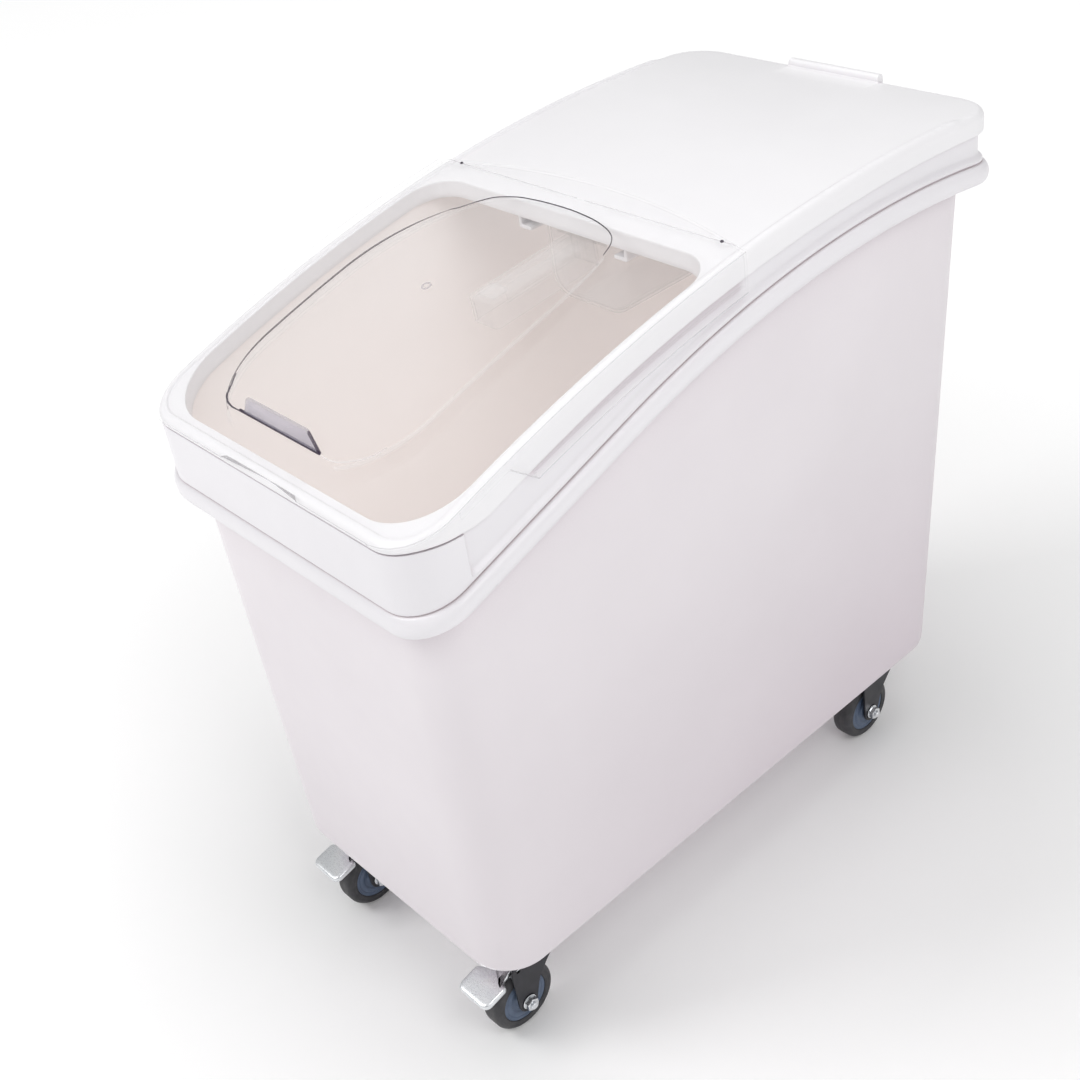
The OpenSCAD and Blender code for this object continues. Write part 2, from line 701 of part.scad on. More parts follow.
module fork(braked) {
    color(black) difference() {
        union() {
            translate([0, 0, fork_top_z - fork_plate_t]) cylinder(r = fork_r, h = fork_plate_t);
            for (x = [-leg_in - leg_t, leg_in])
                translate([x, 0, 0]) rotate([90, 0, 90]) linear_extrude(leg_t) leg_shape(braked);
        }
        translate([0, 0, fork_top_z - fork_plate_t - 1])
            cylinder(d = kingpin_d + 2 * running_gap, h = fork_plate_t + 2);
    }
}

// Bolt along X through both legs, with its head on the left and the nut on the right
nut_af = 13;
nut_h = 6.5;
axle_head_h = 5;
axle_end = 2.5;
module along_x(x, y, z) {
    translate([x, y, z]) rotate([0, 90, 0]) children();
}
module axle() {
    leg_out = leg_in + leg_t;
    color(zinc) {
        along_x(-leg_out, -caster_trail, axle_z) cylinder(d = axle_d, h = 2 * leg_out + nut_h + axle_end);
        along_x(-leg_out - axle_head_h, -caster_trail, axle_z) hex(nut_af, axle_head_h);
    }
}
module axle_nut() {
    color(zinc) along_x(leg_in + leg_t, -caster_trail, axle_z) difference() {
        hex(nut_af, nut_h);
        translate([0, 0, -1]) cylinder(d = axle_d, h = nut_h + 2);
    }
}

// Wheel: rubber tyre on a moulded hub with a steel bush
tyre_t = 11;
hub_r = wheel_d / 2 - tyre_t;
bush_wall = 2;
bush_d = axle_d + 2 * bush_wall;
bush_gap = 0.2;
hub_groove_r = hub_r * 0.62;
tread_r = 6;
hub_inset = 1;
hub_boss_w = 6;
hub_boss_out = 1.5;
hub_step = 1;
hub_slope = 2;
tyre_chamfer = 2;
tyre_rim = 1;
module wheel_part(points) {
    along_x(0, -caster_trail, axle_z) rotate_extrude() polygon(points);
}
module hub() {
    hw = wheel_w / 2 - hub_inset;
    boss_r = bush_d / 2 + hub_boss_w;
    color(slate) wheel_part([
        [bush_d / 2, -hw - hub_boss_out], [boss_r, -hw - hub_boss_out], [boss_r + hub_step, -hw + hub_step],
        [hub_groove_r, -hw + hub_step], [hub_groove_r + hub_slope, -hw], [hub_r, -hw],
        [hub_r, hw], [hub_groove_r + hub_slope, hw], [hub_groove_r, hw - hub_step],
        [boss_r + hub_step, hw - hub_step], [boss_r, hw + hub_boss_out], [bush_d / 2, hw + hub_boss_out]
    ]);
}
module tyre() {
    hw = wheel_w / 2;
    r = wheel_d / 2;
    steps = 6;
    color(black) wheel_part(concat(
        [[hub_r, -hw + tyre_rim], [hub_r + tyre_chamfer, -hw]],
        [for (i = [0 : steps])
            [r - tread_r + tread_r * sin(90 * i / steps), -hw + tread_r - tread_r * cos(90 * i / steps)]],
        [for (i = [0 : steps])
            [r - tread_r + tread_r * cos(90 * i / steps), hw - tread_r + tread_r * sin(90 * i / steps)]],
        [[hub_r + tyre_chamfer, hw], [hub_r, hw - tyre_rim]]
    ));
}
module bush() {
    l = 2 * (leg_in - bush_gap);
    color(zinc) along_x(-l / 2, -caster_trail, axle_z) difference() {
        cylinder(d = bush_d, h = l);
        translate([0, 0, -1]) cylinder(d = axle_d + 2 * running_gap, h = l + 2);
    }
}

// Brake of a front caster: pedal on a pin through the fork's legs, with a shoe over the tyre
knuckle_d = 10;
pedal_t = 2;
pedal_tilt = 12.5;
pedal_l = 50;
pedal_w = 44;
pedal_neck_w = 26;
pedal_neck_l = 17;
shoe_l = 13;
shoe_w = 20;
knuckle_gap = 0.4;
pedal_overlap = 2;
shoe_gap = 2.2;
knuckle_hl = leg_in - knuckle_gap;
module brake_pin() {
    color(zinc) along_x(-leg_in - leg_t, pin_y, pin_z) cylinder(d = pin_d, h = 2 * (leg_in + leg_t));
}
module brake_pedal() {
    shoe_low = axle_z + wheel_d / 2 + shoe_gap;
    color(zinc) difference() {
        union() {
            along_x(-knuckle_hl, pin_y, pin_z) cylinder(d = knuckle_d, h = 2 * knuckle_hl);
            translate([0, pin_y, pin_z]) rotate([pedal_tilt, 0, 0]) {
                translate([-pedal_neck_w / 2, -pedal_neck_l - pedal_overlap, 0])
                    cube([pedal_neck_w, pedal_neck_l + pedal_overlap, pedal_t]);
                translate([-pedal_w / 2, -pedal_l, 0]) cube([pedal_w, pedal_l - pedal_neck_l, pedal_t]);
            }
            translate([-shoe_w / 2, pin_y - shoe_l / 2, shoe_low]) cube([shoe_w, shoe_l, pin_z - shoe_low]);
        }
        along_x(-knuckle_hl - 1, pin_y, pin_z) cylinder(d = pin_d + 2 * running_gap, h = 2 * knuckle_hl + 2);
    }
}

tub();
lid();
scoop_hook(-1);  // scoop_hook_left
scoop_hook(1);  // scoop_hook_right
clear_lid();
scoop();
caster_bolts();
caster_washers();
threaded_inserts();
place(0) caster_plate();  // caster_plate_fl
place(1) caster_plate();  // caster_plate_fr
place(2) caster_plate();  // caster_plate_rl
place(3) caster_plate();  // caster_plate_rr
place(0) swivel_race();  // swivel_race_fl
place(1) swivel_race();  // swivel_race_fr
place(2) swivel_race();  // swivel_race_rl
place(3) swivel_race();  // swivel_race_rr
place(0) swivel_balls();  // swivel_balls_fl
place(1) swivel_balls();  // swivel_balls_fr
place(2) swivel_balls();  // swivel_balls_rl
place(3) swivel_balls();  // swivel_balls_rr
place(0) kingpin();  // kingpin_fl
place(1) kingpin();  // kingpin_fr
place(2) kingpin();  // kingpin_rl
place(3) kingpin();  // kingpin_rr
place(0) fork(true);  // fork_fl
place(1) fork(true);  // fork_fr
place(2) fork(false);  // fork_rl
place(3) fork(false);  // fork_rr
place(0) axle();  // axle_fl
place(1) axle();  // axle_fr
place(2) axle();  // axle_rl
place(3) axle();  // axle_rr
place(0) axle_nut();  // axle_nut_fl
place(1) axle_nut();  // axle_nut_fr
place(2) axle_nut();  // axle_nut_rl
place(3) axle_nut();  // axle_nut_rr
place(0) hub();  // hub_fl
place(1) hub();  // hub_fr
place(2) hub();  // hub_rl
place(3) hub();  // hub_rr
place(0) tyre();  // tyre_fl
place(1) tyre();  // tyre_fr
place(2) tyre();  // tyre_rl
place(3) tyre();  // tyre_rr
place(0) bush();  // bush_fl
place(1) bush();  // bush_fr
place(2) bush();  // bush_rl
place(3) bush();  // bush_rr
place(0) brake_pedal();  // brake_pedal_fl
place(1) brake_pedal();  // brake_pedal_fr
place(0) brake_pin();  // brake_pin_fl
place(1) brake_pin();  // brake_pin_fr
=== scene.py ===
"""Looks of the rolling ingredient bin: white tub and lid, clear sliding lid, clear scoop and four swivel casters.

Sizes are in millimetres in the frame of the CAD model and become metres when a mesh is made.
"""
import math

import bmesh
import bpy
import numpy as np
from mathutils import Matrix


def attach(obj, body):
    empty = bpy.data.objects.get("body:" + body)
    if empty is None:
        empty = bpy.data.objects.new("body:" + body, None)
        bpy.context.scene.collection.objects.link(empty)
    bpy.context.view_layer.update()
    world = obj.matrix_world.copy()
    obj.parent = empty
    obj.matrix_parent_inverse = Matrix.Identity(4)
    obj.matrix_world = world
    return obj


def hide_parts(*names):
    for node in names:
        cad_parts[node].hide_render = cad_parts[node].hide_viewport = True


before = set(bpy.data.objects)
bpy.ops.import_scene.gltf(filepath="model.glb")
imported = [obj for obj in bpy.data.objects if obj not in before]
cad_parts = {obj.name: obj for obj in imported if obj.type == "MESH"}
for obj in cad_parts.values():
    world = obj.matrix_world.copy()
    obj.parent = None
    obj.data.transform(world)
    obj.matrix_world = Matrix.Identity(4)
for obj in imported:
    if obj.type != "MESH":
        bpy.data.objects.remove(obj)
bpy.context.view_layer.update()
MM = 0.001
WELD, SLIVER = 2e-6, 1e-6
SCENE = bpy.context.scene


# Shape helpers
def smooth(v, lo, hi):
    t = np.clip((np.asarray(v, float) - lo) / (hi - lo), 0, 1)
    return t * t * (3 - 2 * t)


def angles(lo, hi, n):
    """Evenly spaced angles, given in degrees and returned in radians."""
    return np.radians(np.linspace(lo, hi, n))


def lift(xy, z):
    """Points of a plan at a height."""
    return np.column_stack([xy, np.broadcast_to(z, len(xy))])


def upright(xz, y):
    """Points of an elevation at a place along the length."""
    return np.column_stack([xz[:, 0], np.broadcast_to(y, len(xz)), xz[:, 1]])


def box(x0, y0, x1, y1):
    return [(x0, y0), (x1, y0), (x1, y1), (x0, y1)]


class Shape:
    """Vertices, faces and material numbers of one piece, collected shell by shell."""

    def __init__(self):
        self.verts, self.faces, self.mats = [], [], []

    def add(self, verts, faces, mat=0):
        base = len(self.verts)
        self.verts += [tuple(float(c) for c in p) for p in verts]
        self.faces += [[base + int(i) for i in f] for f in faces]
        self.mats += list(mat) if isinstance(mat, (list, tuple)) else [mat] * len(faces)
        return self


def loft(rows, ring=False):
    """Faces between closed rows of points; ring joins the last row to the first, otherwise both ends get a cap."""
    n = len(rows[0])
    faces = []
    for k in range(len(rows) if ring else len(rows) - 1):
        a, b = k * n, ((k + 1) % len(rows)) * n
        faces += [[a + i, a + (i + 1) % n, b + (i + 1) % n, b + i] for i in range(n)]
    if not ring:
        last = (len(rows) - 1) * n
        faces += [list(range(n))[::-1], [last + i for i in range(n)]]
    return np.concatenate(rows), faces


def lathe(profile, centre, axis="x", steps=64):
    """Solid of revolution from a closed profile of (radius, height along the axis)."""
    rows = []
    for k in range(steps):
        a = 2 * math.pi * k / steps
        c, s = math.cos(a), math.sin(a)
        if axis == "x":
            rows.append(np.array([(h, r * c, r * s) for r, h in profile]) + centre)
        else:
            rows.append(np.array([(r * c, r * s, h) for r, h in profile]) + centre)
    return loft(rows, ring=True)


def inset(outline, d):
    """Outline of counter-clockwise points moved inwards by d."""
    p = np.asarray(outline, float)
    back, ahead = p - np.roll(p, 1, 0), np.roll(p, -1, 0) - p
    back /= np.linalg.norm(back, axis=1)[:, None] + 1e-9
    ahead /= np.linalg.norm(ahead, axis=1)[:, None] + 1e-9
    n1 = np.stack([back[:, 1], -back[:, 0]], 1)
    n2 = np.stack([ahead[:, 1], -ahead[:, 0]], 1)
    mitre = (n1 + n2) / (1 + (n1 * n2).sum(1))[:, None]
    return p - mitre * d


def rounded(corners, radii, steps=6):
    """Polygon with each corner turned into an arc of the given radius."""
    c = np.asarray(corners, float)
    radii = np.broadcast_to(radii, len(c))
    points = []
    for i in range(len(c)):
        a, b = c[i - 1] - c[i], c[(i + 1) % len(c)] - c[i]
        a, b = a / np.linalg.norm(a), b / np.linalg.norm(b)
        half = math.acos(np.clip(a @ b, -1, 1)) / 2
        reach = radii[i] / math.tan(half)
        mid = (a + b) / np.linalg.norm(a + b)
        centre = c[i] + mid * radii[i] / math.sin(half)
        start, end = c[i] + a * reach - centre, c[i] + b * reach - centre
        turn = math.atan2(start[0] * end[1] - start[1] * end[0], start @ end)
        for k in range(steps + 1):
            t = turn * k / steps
            points.append(centre + (start[0] * math.cos(t) - start[1] * math.sin(t),
                                    start[0] * math.sin(t) + start[1] * math.cos(t)))
    return np.array(points)


def slab(outline, low, high, edge=0.8):
    """Plate with rounded edges: rows of (x, y, z) for loft."""
    turns = angles(0, 90, 4)
    ends = [(low, edge, t) for t in turns] + [(high, -edge, t) for t in turns[::-1]]
    return [lift(inset(outline, edge * (1 - math.sin(t))), z + e * (1 - math.cos(t))) for z, e, t in ends]


def tilted(points, tilt, origin):
    """Points turned about X by a tilt and set at an origin."""
    x, y, z = np.asarray(points, float).T
    c, n = math.cos(tilt), math.sin(tilt)
    return np.column_stack([x, y * c - z * n, y * n + z * c]) + origin


def piece(name, shape, body, mats, replaces, angle=38):
    """Mesh object from a shape, riding on a body and standing for CAD nodes."""
    me = bpy.data.meshes.new(name)
    me.from_pydata([tuple(c * MM for c in p) for p in shape.verts], [], shape.faces)
    me.polygons.foreach_set("material_index", shape.mats)
    bm = bmesh.new()
    bm.from_mesh(me)
    bmesh.ops.remove_doubles(bm, verts=bm.verts, dist=WELD)
    bmesh.ops.dissolve_degenerate(bm, edges=bm.edges, dist=SLIVER)
    bmesh.ops.recalc_face_normals(bm, faces=bm.faces)
    bm.to_mesh(me)
    bm.free()
    me.polygons.foreach_set("use_smooth", [True] * len(me.polygons))
    me.set_sharp_from_angle(angle=math.radians(angle))
    for m in mats:
        me.materials.append(m)
    ob = bpy.data.objects.new(name, me)
    SCENE.collection.objects.link(ob)
    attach(ob, body)
    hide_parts(*replaces)


# Materials
NOISE_RANGE = (0.3, 0.7)
CREASE_SAMPLES = 6
CLEAR_IOR = 1.49


def shader(name):
    m = bpy.data.materials.new(name)
    m.use_nodes = True
    nt = m.node_tree
    nt.nodes.clear()
    out = nt.nodes.new("ShaderNodeOutputMaterial")
    bsdf = nt.nodes.new("ShaderNodeBsdfPrincipled")
    nt.links.new(bsdf.outputs[0], out.inputs[0])
    return m, nt, bsdf


def feed(nt, node, inputs):
    """Set inputs of a node, given by name or number, to plain values or link them to sockets."""
    for key, value in inputs.items():
        if isinstance(value, bpy.types.NodeSocket):
            nt.links.new(value, node.inputs[key])
        else:
            node.inputs[key].default_value = value


def add_node(nt, kind, inputs, **settings):
    node = nt.nodes.new("ShaderNode" + kind)
    for key, value in settings.items():
        setattr(node, key, value)
    feed(nt, node, inputs)
    return node


def own_place(nt):
    """Coordinates that ride with the piece."""
    return add_node(nt, "TexCoord", {}).outputs["Object"]


def noise(nt, scale, detail, rough=0.5, stretch=None):
    place = own_place(nt)
    if stretch:
        place = add_node(nt, "Mapping", {"Vector": place, "Scale": stretch}).outputs[0]
    inputs = {"Vector": place, "Scale": scale, "Detail": detail, "Roughness": rough}
    return add_node(nt, "TexNoise", inputs).outputs["Fac"]


def ramp(nt, fac, stops):
    node = add_node(nt, "ValToRGB", {0: fac})
    el = node.color_ramp.elements
    el[0].position, el[0].color = stops[0][0], (*stops[0][1], 1)
    el[1].position, el[1].color = stops[-1][0], (*stops[-1][1], 1)
    for pos, col in stops[1:-1]:
        el.new(pos).color = (*col, 1)
    return node.outputs[0]


def map_range(nt, value, *edges):
    """Value mapped from one range to another; edges are the two ends of the first and of the second."""
    names = ("From Min", "From Max", "To Min", "To Max")
    return add_node(nt, "MapRange", {"Value": value, **dict(zip(names, edges))}).outputs[0]


def span(nt, fac, lo, hi):
    """Noise spread from lo to hi."""
    return map_range(nt, fac, *NOISE_RANGE, lo, hi)


def darken(nt, tone, share, shade):
    """Tone multiplied by a shade, by a share from none to all."""
    return add_node(nt, "MixRGB", {"Fac": share, "Color1": tone, "Color2": shade}, blend_type="MULTIPLY").outputs[0]


def bump(nt, fac, strength, depth, normal=None):
    inputs = {"Height": fac, "Strength": strength, "Distance": depth}
    if normal is not None:
        inputs["Normal"] = normal
    return add_node(nt, "Bump", inputs).outputs[0]


# Painted shade: the walls grow a little darker towards the foot, most of all at the rear: ranges of height and length
# in metres
FOOT_EDGES, REAR_EDGES = (0.5, 0.11, 0.0, 1.0), (-0.34, 0.2, 0.2, 1.0)
FOOT_SHADE = (0.915, 0.87, 0.9, 1)


def painted_foot_shade(nt, tone):
    at = add_node(nt, "SeparateXYZ", {0: own_place(nt)}).outputs
    low, rear = map_range(nt, at["Z"], *FOOT_EDGES), map_range(nt, at["Y"], *REAR_EDGES)
    return darken(nt, tone, add_node(nt, "Math", {0: low, 1: rear}, operation="MULTIPLY").outputs[0], FOOT_SHADE)


def moulded(name, tones, roughness, patch=5.0, grain=700.0, grain_depth=0.00012, swell=22.0, swell_depth=0.0004,
            crease_shade=(), foot_shaded=False, glow=None):
    """Moulded plastic or rubber: slow tone drift, satin patches, fine grain over a faint swell, painted shade in the
    creases, painted shade towards the foot and a painted glow when asked.
    """
    m, nt, b = shader(name)
    tone = ramp(nt, noise(nt, patch, 4.0), [(0.32, tones[0]), (0.5, tones[1]), (0.68, tones[2])])
    # Painted shade: the tone is darkened by ambient occlusion in creases, corners and under overhangs
    for reach, own, lo, hi, shade in crease_shade:
        near = add_node(nt, "AmbientOcclusion", {"Distance": reach}, samples=CREASE_SAMPLES, only_local=own)
        tone = darken(nt, tone, 1.0, ramp(nt, near.outputs["AO"], [(lo, shade), (hi, (1.0, 1.0, 1.0))]))
    # Painted shade towards the foot of the walls, most of all at the rear
    if foot_shaded:
        tone = painted_foot_shade(nt, tone)
    slow = bump(nt, noise(nt, swell, 1.0), 0.35, swell_depth)
    feed(nt, b, {"Base Color": tone, "Roughness": span(nt, noise(nt, 38.0, 4.0), *roughness),
                 "Normal": bump(nt, noise(nt, grain, 2.0), 0.3, grain_depth, slow)})
    if glow:
        feed(nt, b, {"Emission Color": glow[0], "Emission Strength": glow[1]})
    return m


def plated(name, tones, roughness, stretch):
    """Metal with brush lines along one way, cloudy plating and small pits."""
    m, nt, b = shader(name)
    tone = ramp(nt, noise(nt, 60.0, 5.0, 0.6), [(0.3, tones[0]), (0.52, tones[1]), (0.7, tones[2])])
    lines = bump(nt, noise(nt, 900.0, 2.0, 0.5, stretch), 0.1, 0.00005)
    feed(nt, b, {"Metallic": 1.0, "Base Color": tone,
                 "Roughness": span(nt, noise(nt, 240.0, 4.0, 0.6, stretch), *roughness),
                 "Normal": bump(nt, noise(nt, 420.0, 3.0), 0.2, 0.00008, lines)})
    return m


# Painted shade in creases and corners and under overhangs such as the bead and the lid's lip: reach, own piece only,
# and the tone from the deepest place to the open
CREASE_SHADE = [(0.06, False, 0.4, 1.0, (0.7, 0.645, 0.67))]
BAND_CREASE_SHADE = [(0.007, True, 0.2, 0.85, (0.74, 0.68, 0.67)), (0.012, False, 0.3, 0.8, (0.8, 0.745, 0.765))]
LID_CREASE_SHADE = [(0.006, True, 0.35, 0.97, (0.68, 0.64, 0.67))]
INSIDE_CREASE_SHADE = [(0.09, True, 0.35, 0.95, (0.86, 0.83, 0.82))]
# Painted light: a glow on the inside that stands in for light coming through the thin polyethylene walls
INSIDE_GLOW = ((1.0, 0.945, 0.92, 1), 0.115)
WHITE = moulded(
    "white_pe", [(0.8, 0.755, 0.785), (0.815, 0.77, 0.8), (0.83, 0.785, 0.815)], (0.3, 0.42), crease_shade=CREASE_SHADE, foot_shaded=True)
# The band over the bead is a lighter copy of the wall plastic: painted light on the top of the tub
LIT_BAND_WHITE = moulded(
    "white_pe_band", [(0.82, 0.802, 0.83), (0.835, 0.817, 0.845), (0.85, 0.832, 0.86)], (0.28, 0.4), crease_shade=BAND_CREASE_SHADE)
LID_WHITE = moulded(
    "white_lid", [(0.872, 0.862, 0.88), (0.884, 0.874, 0.891), (0.897, 0.888, 0.905)], (0.34, 0.44), crease_shade=LID_CREASE_SHADE,
    grain_depth=0.00003, swell_depth=0.00008)
# The inside is a lighter, warmer copy of the wall plastic: painted light bounced about inside the tub, plus the painted
# glow
INSIDE = moulded(
    "white_pe_inside", [(0.905, 0.86, 0.84), (0.915, 0.873, 0.857), (0.925, 0.886, 0.874)], (0.42, 0.56),
    crease_shade=INSIDE_CREASE_SHADE, glow=INSIDE_GLOW)
HUB_GREY = moulded(
    "hub_grey", [(0.07, 0.1, 0.165), (0.09, 0.127, 0.2), (0.112, 0.15, 0.225)], (0.36, 0.5),
    patch=60.0, grain=1500.0, grain_depth=0.00006, swell=120.0, swell_depth=0.00008)
RUBBER = moulded(
    "tyre_rubber", [(0.03, 0.03, 0.034), (0.042, 0.042, 0.047), (0.06, 0.059, 0.062)], (0.46, 0.62),
    patch=80.0, grain=1800.0, grain_depth=0.0001, swell=160.0, swell_depth=0.0001)
BLACK = moulded(
    "black_coat", [(0.008, 0.008, 0.013), (0.011, 0.011, 0.017), (0.017, 0.017, 0.024)], (0.3, 0.44),
    patch=70.0, grain=1200.0, grain_depth=0.00008, swell=200.0, swell_depth=0.0001)
ZINC = plated("zinc_plate", [(0.78, 0.8, 0.83), (0.83, 0.85, 0.87), (0.88, 0.89, 0.895)], (0.24, 0.36), (1, 14, 1))
STEEL = plated("bearing_steel", [(0.4, 0.41, 0.43), (0.5, 0.51, 0.53), (0.58, 0.58, 0.6)], (0.24, 0.4), (10, 1, 10))
BRASS = plated("insert_brass", [(0.58, 0.42, 0.17), (0.7, 0.52, 0.22), (0.8, 0.62, 0.3)], (0.22, 0.36), (1, 1, 16))


def clear_plastic(name, tones, haze, veil):
    """Clear moulded plastic: open face on, denser at a slant, with faint haze, mould waves and hairline scratches."""
    m, nt, b = shader(name)
    slant = add_node(nt, "LayerWeight", {"Blend": 0.5}).outputs["Facing"]
    waves = bump(nt, noise(nt, 9.0, 1.0), 0.25, 0.0006)
    feed(nt, b, {"IOR": CLEAR_IOR, "Base Color": ramp(nt, noise(nt, 9.0, 3.0), [(0.3, tones[0]), (0.7, tones[1])]),
                 "Roughness": span(nt, noise(nt, 30.0, 4.0), *haze),
                 "Alpha": ramp(nt, slant, [(at, (v, v, v)) for at, v in veil]),
                 "Normal": bump(nt, noise(nt, 300.0, 3.0, 0.6, (1, 9, 1)), 0.08, 0.00004, waves)})
    return m


CLEAR = clear_plastic("clear_sheet", [(0.9, 0.9, 0.91), (0.94, 0.94, 0.945)], (0.03, 0.08),
                      [(0.0, 0.035), (0.55, 0.06), (0.85, 0.22), (1.0, 0.5)])
RIM_CLEAR = clear_plastic("clear_rim", [(0.5, 0.47, 0.5), (0.62, 0.6, 0.63)], (0.06, 0.14),
                          [(0.0, 0.3), (0.6, 0.42), (1.0, 0.65)])
GRIP_CLEAR = clear_plastic("clear_grip", [(0.42, 0.39, 0.48), (0.56, 0.53, 0.62)], (0.05, 0.12),
                           [(0.0, 0.3), (0.6, 0.45), (1.0, 0.7)])
# Painted shade and painted dark reflection: a dark, dense clear finish for the left walls of the plateau and for thin
# lines and spots
DARK_EDGE = clear_plastic("clear_dark_edge", [(0.035, 0.02, 0.045), (0.07, 0.05, 0.085)], (0.1, 0.2),
                          [(0.0, 0.8), (0.6, 0.85), (1.0, 0.9)])
# Painted highlight: a whitish clear finish for the right walls of the plateau and a fold line
LIGHT_EDGE = clear_plastic("clear_light_edge", [(0.9, 0.88, 0.88), (0.96, 0.95, 0.95)], (0.06, 0.12),
                           [(0.0, 0.22), (0.6, 0.3), (1.0, 0.5)])
SCOOP_CLEAR = clear_plastic("clear_scoop", [(0.84, 0.825, 0.82), (0.94, 0.93, 0.93)], (0.05, 0.12),
                            [(0.0, 0.06), (0.5, 0.1), (0.8, 0.38), (1.0, 0.9)])
CLEAR_SET = [CLEAR, RIM_CLEAR, GRIP_CLEAR, DARK_EDGE, LIGHT_EDGE]
FACE, RIM, GRIP, DARK, LIGHT = range(5)


# Lid curve, lip and bead lines shared by tub, lid and clear lid
LID_R, LID_Y, BIN_H = 1620.0, 206.0, 755.5
ARC_CZ = BIN_H - LID_R
LID_HW, LID_HL, LID_CORNER = 196.5, 374.4, 45.0
LIP_H, LIP_EXTRA, LIP_RISE = 22.5, 9.0, 25.0
LIP_SWEEP_Y, LIP_SWEEP_L = 10.0, 388.0
BEAD_R, BEAD_Y, BEAD_TANGENT, BEAD_TOP, BEAD_H = 1068.0, 186.0, -145.0, BIN_H - 66.3, 20.0
BEAD_REACH, BEAD_END = 7.0, 3.6
GROOVE_Y, GROOVE_IN = -321.0, 4.8
RIM_T = 5.2
RIM_GAP = 1.5


def arc_z(y, d):
    """Height of the lid's curve, moved out by d, at a place along the length."""
    return ARC_CZ + np.sqrt((LID_R + d) ** 2 - (np.asarray(y, float) - LID_Y) ** 2)


def lip_d(y):
    """Depth of the lid's lower edge under the lid's curve."""
    y = np.asarray(y, float)
    rise = LIP_RISE * smooth(-y, LID_HL - 2 * LID_CORNER, LID_HL)
    return -LIP_H - LIP_EXTRA * np.clip((LIP_SWEEP_Y - y) / LIP_SWEEP_L, 0, 1) ** 2 + rise


def bead_z(y):
    """Height of the bead's lower edge: an arc that runs straight on towards the front."""
    y = np.asarray(y, float)
    base = BEAD_TOP - BEAD_R
    arc = base + np.sqrt(BEAD_R ** 2 - (np.maximum(y, BEAD_TANGENT) - BEAD_Y) ** 2)
    slope = math.tan(math.asin((BEAD_Y - BEAD_TANGENT) / BEAD_R))
    return arc - slope * np.maximum(0, BEAD_TANGENT - y)


CORNER_STEPS = 14
SIDE = np.concatenate([[0.006, 0.0112, 0.0125, 0.0135, 0.0145, 0.0158, 0.022, 0.035], np.linspace(0.055, 0.94, 34),
                       [0.95, 0.956, 0.962, 0.968, 0.974, 0.98, 0.99]])
EDGE_HALF = np.array([0.05, 0.12, 0.19, 0.26, 0.29, 0.302, 0.314, 0.326, 0.338, 0.355, 0.37, 0.376, 0.38, 0.384, 0.39,
                      0.43, 0.5, 0.58, 0.66, 0.74, 0.82, 0.9, 0.96])
EDGE = np.concatenate([EDGE_HALF[::-1], -EDGE_HALF])


def loop_xy(hw, yf, yr, r, rear_r=None):
    """Rounded rectangle, counter-clockwise from the front right corner, always with the same number of points."""
    rr = r if rear_r is None else rear_r

    def corner(cx, cy, a0, radius):
        a = angles(a0, a0 + 90, CORNER_STEPS + 1)
        return np.stack([cx + radius * np.cos(a), cy + radius * np.sin(a)], 1)
    ys = yf + r + SIDE * (yr - yf - r - rr)
    return np.concatenate([
        corner(hw - r, yf + r, -90, r),
        np.stack([np.full(len(ys), hw), ys], 1),
        corner(hw - rr, yr - rr, 0, rr),
        np.stack([EDGE * (hw - rr), np.full(len(EDGE), yr)], 1),
        corner(-hw + rr, yr - rr, 90, rr),
        np.stack([np.full(len(ys), -hw), ys[::-1]], 1),
        corner(-hw + r, yf + r, 180, r),
        np.stack([-EDGE * (hw - r), np.full(len(EDGE), yf)], 1)])


def collar(d):
    """Outline of the lid, moved in by d."""
    return loop_xy(LID_HW - d, -LID_HL + d, LID_HL - d, LID_CORNER - d)


def on_arc(xy, d):
    return lift(xy, arc_z(xy[:, 1], d))


def on_bead(xy, up):
    return lift(xy, bead_z(xy[:, 1]) + up)


# Tub
FLOOR_Z, FLOOR_T, BOTTOM_R, WALL_T, TUB_R = 120.0, 9.0, 12.0, 4.5, 49.0
# Half width, front and rear of the walls at the bead and at the floor
WALL_TOP = (187.2, -359.0, 349.0)
WALL_LOW = (175.2, -357.0, 326.0)
BEAD_FILLET, BEAD_FOOT = 5.0, 0.42
GROOVE_RAMP, GROOVE_LEAST = 2.4, 0.12
RIM_TOP_D, RIM_FOOT_D = -5.4, -34.0
OUTER, INNER, BAND = range(3)


def wall(share, d, r):
    """Outline of the walls at a share of their height, moved in by d."""
    hw, yf, yr = (lo + (hi - lo) * share for lo, hi in zip(WALL_LOW, WALL_TOP))
    return loop_xy(hw - d, yf + d, yr - d, r)


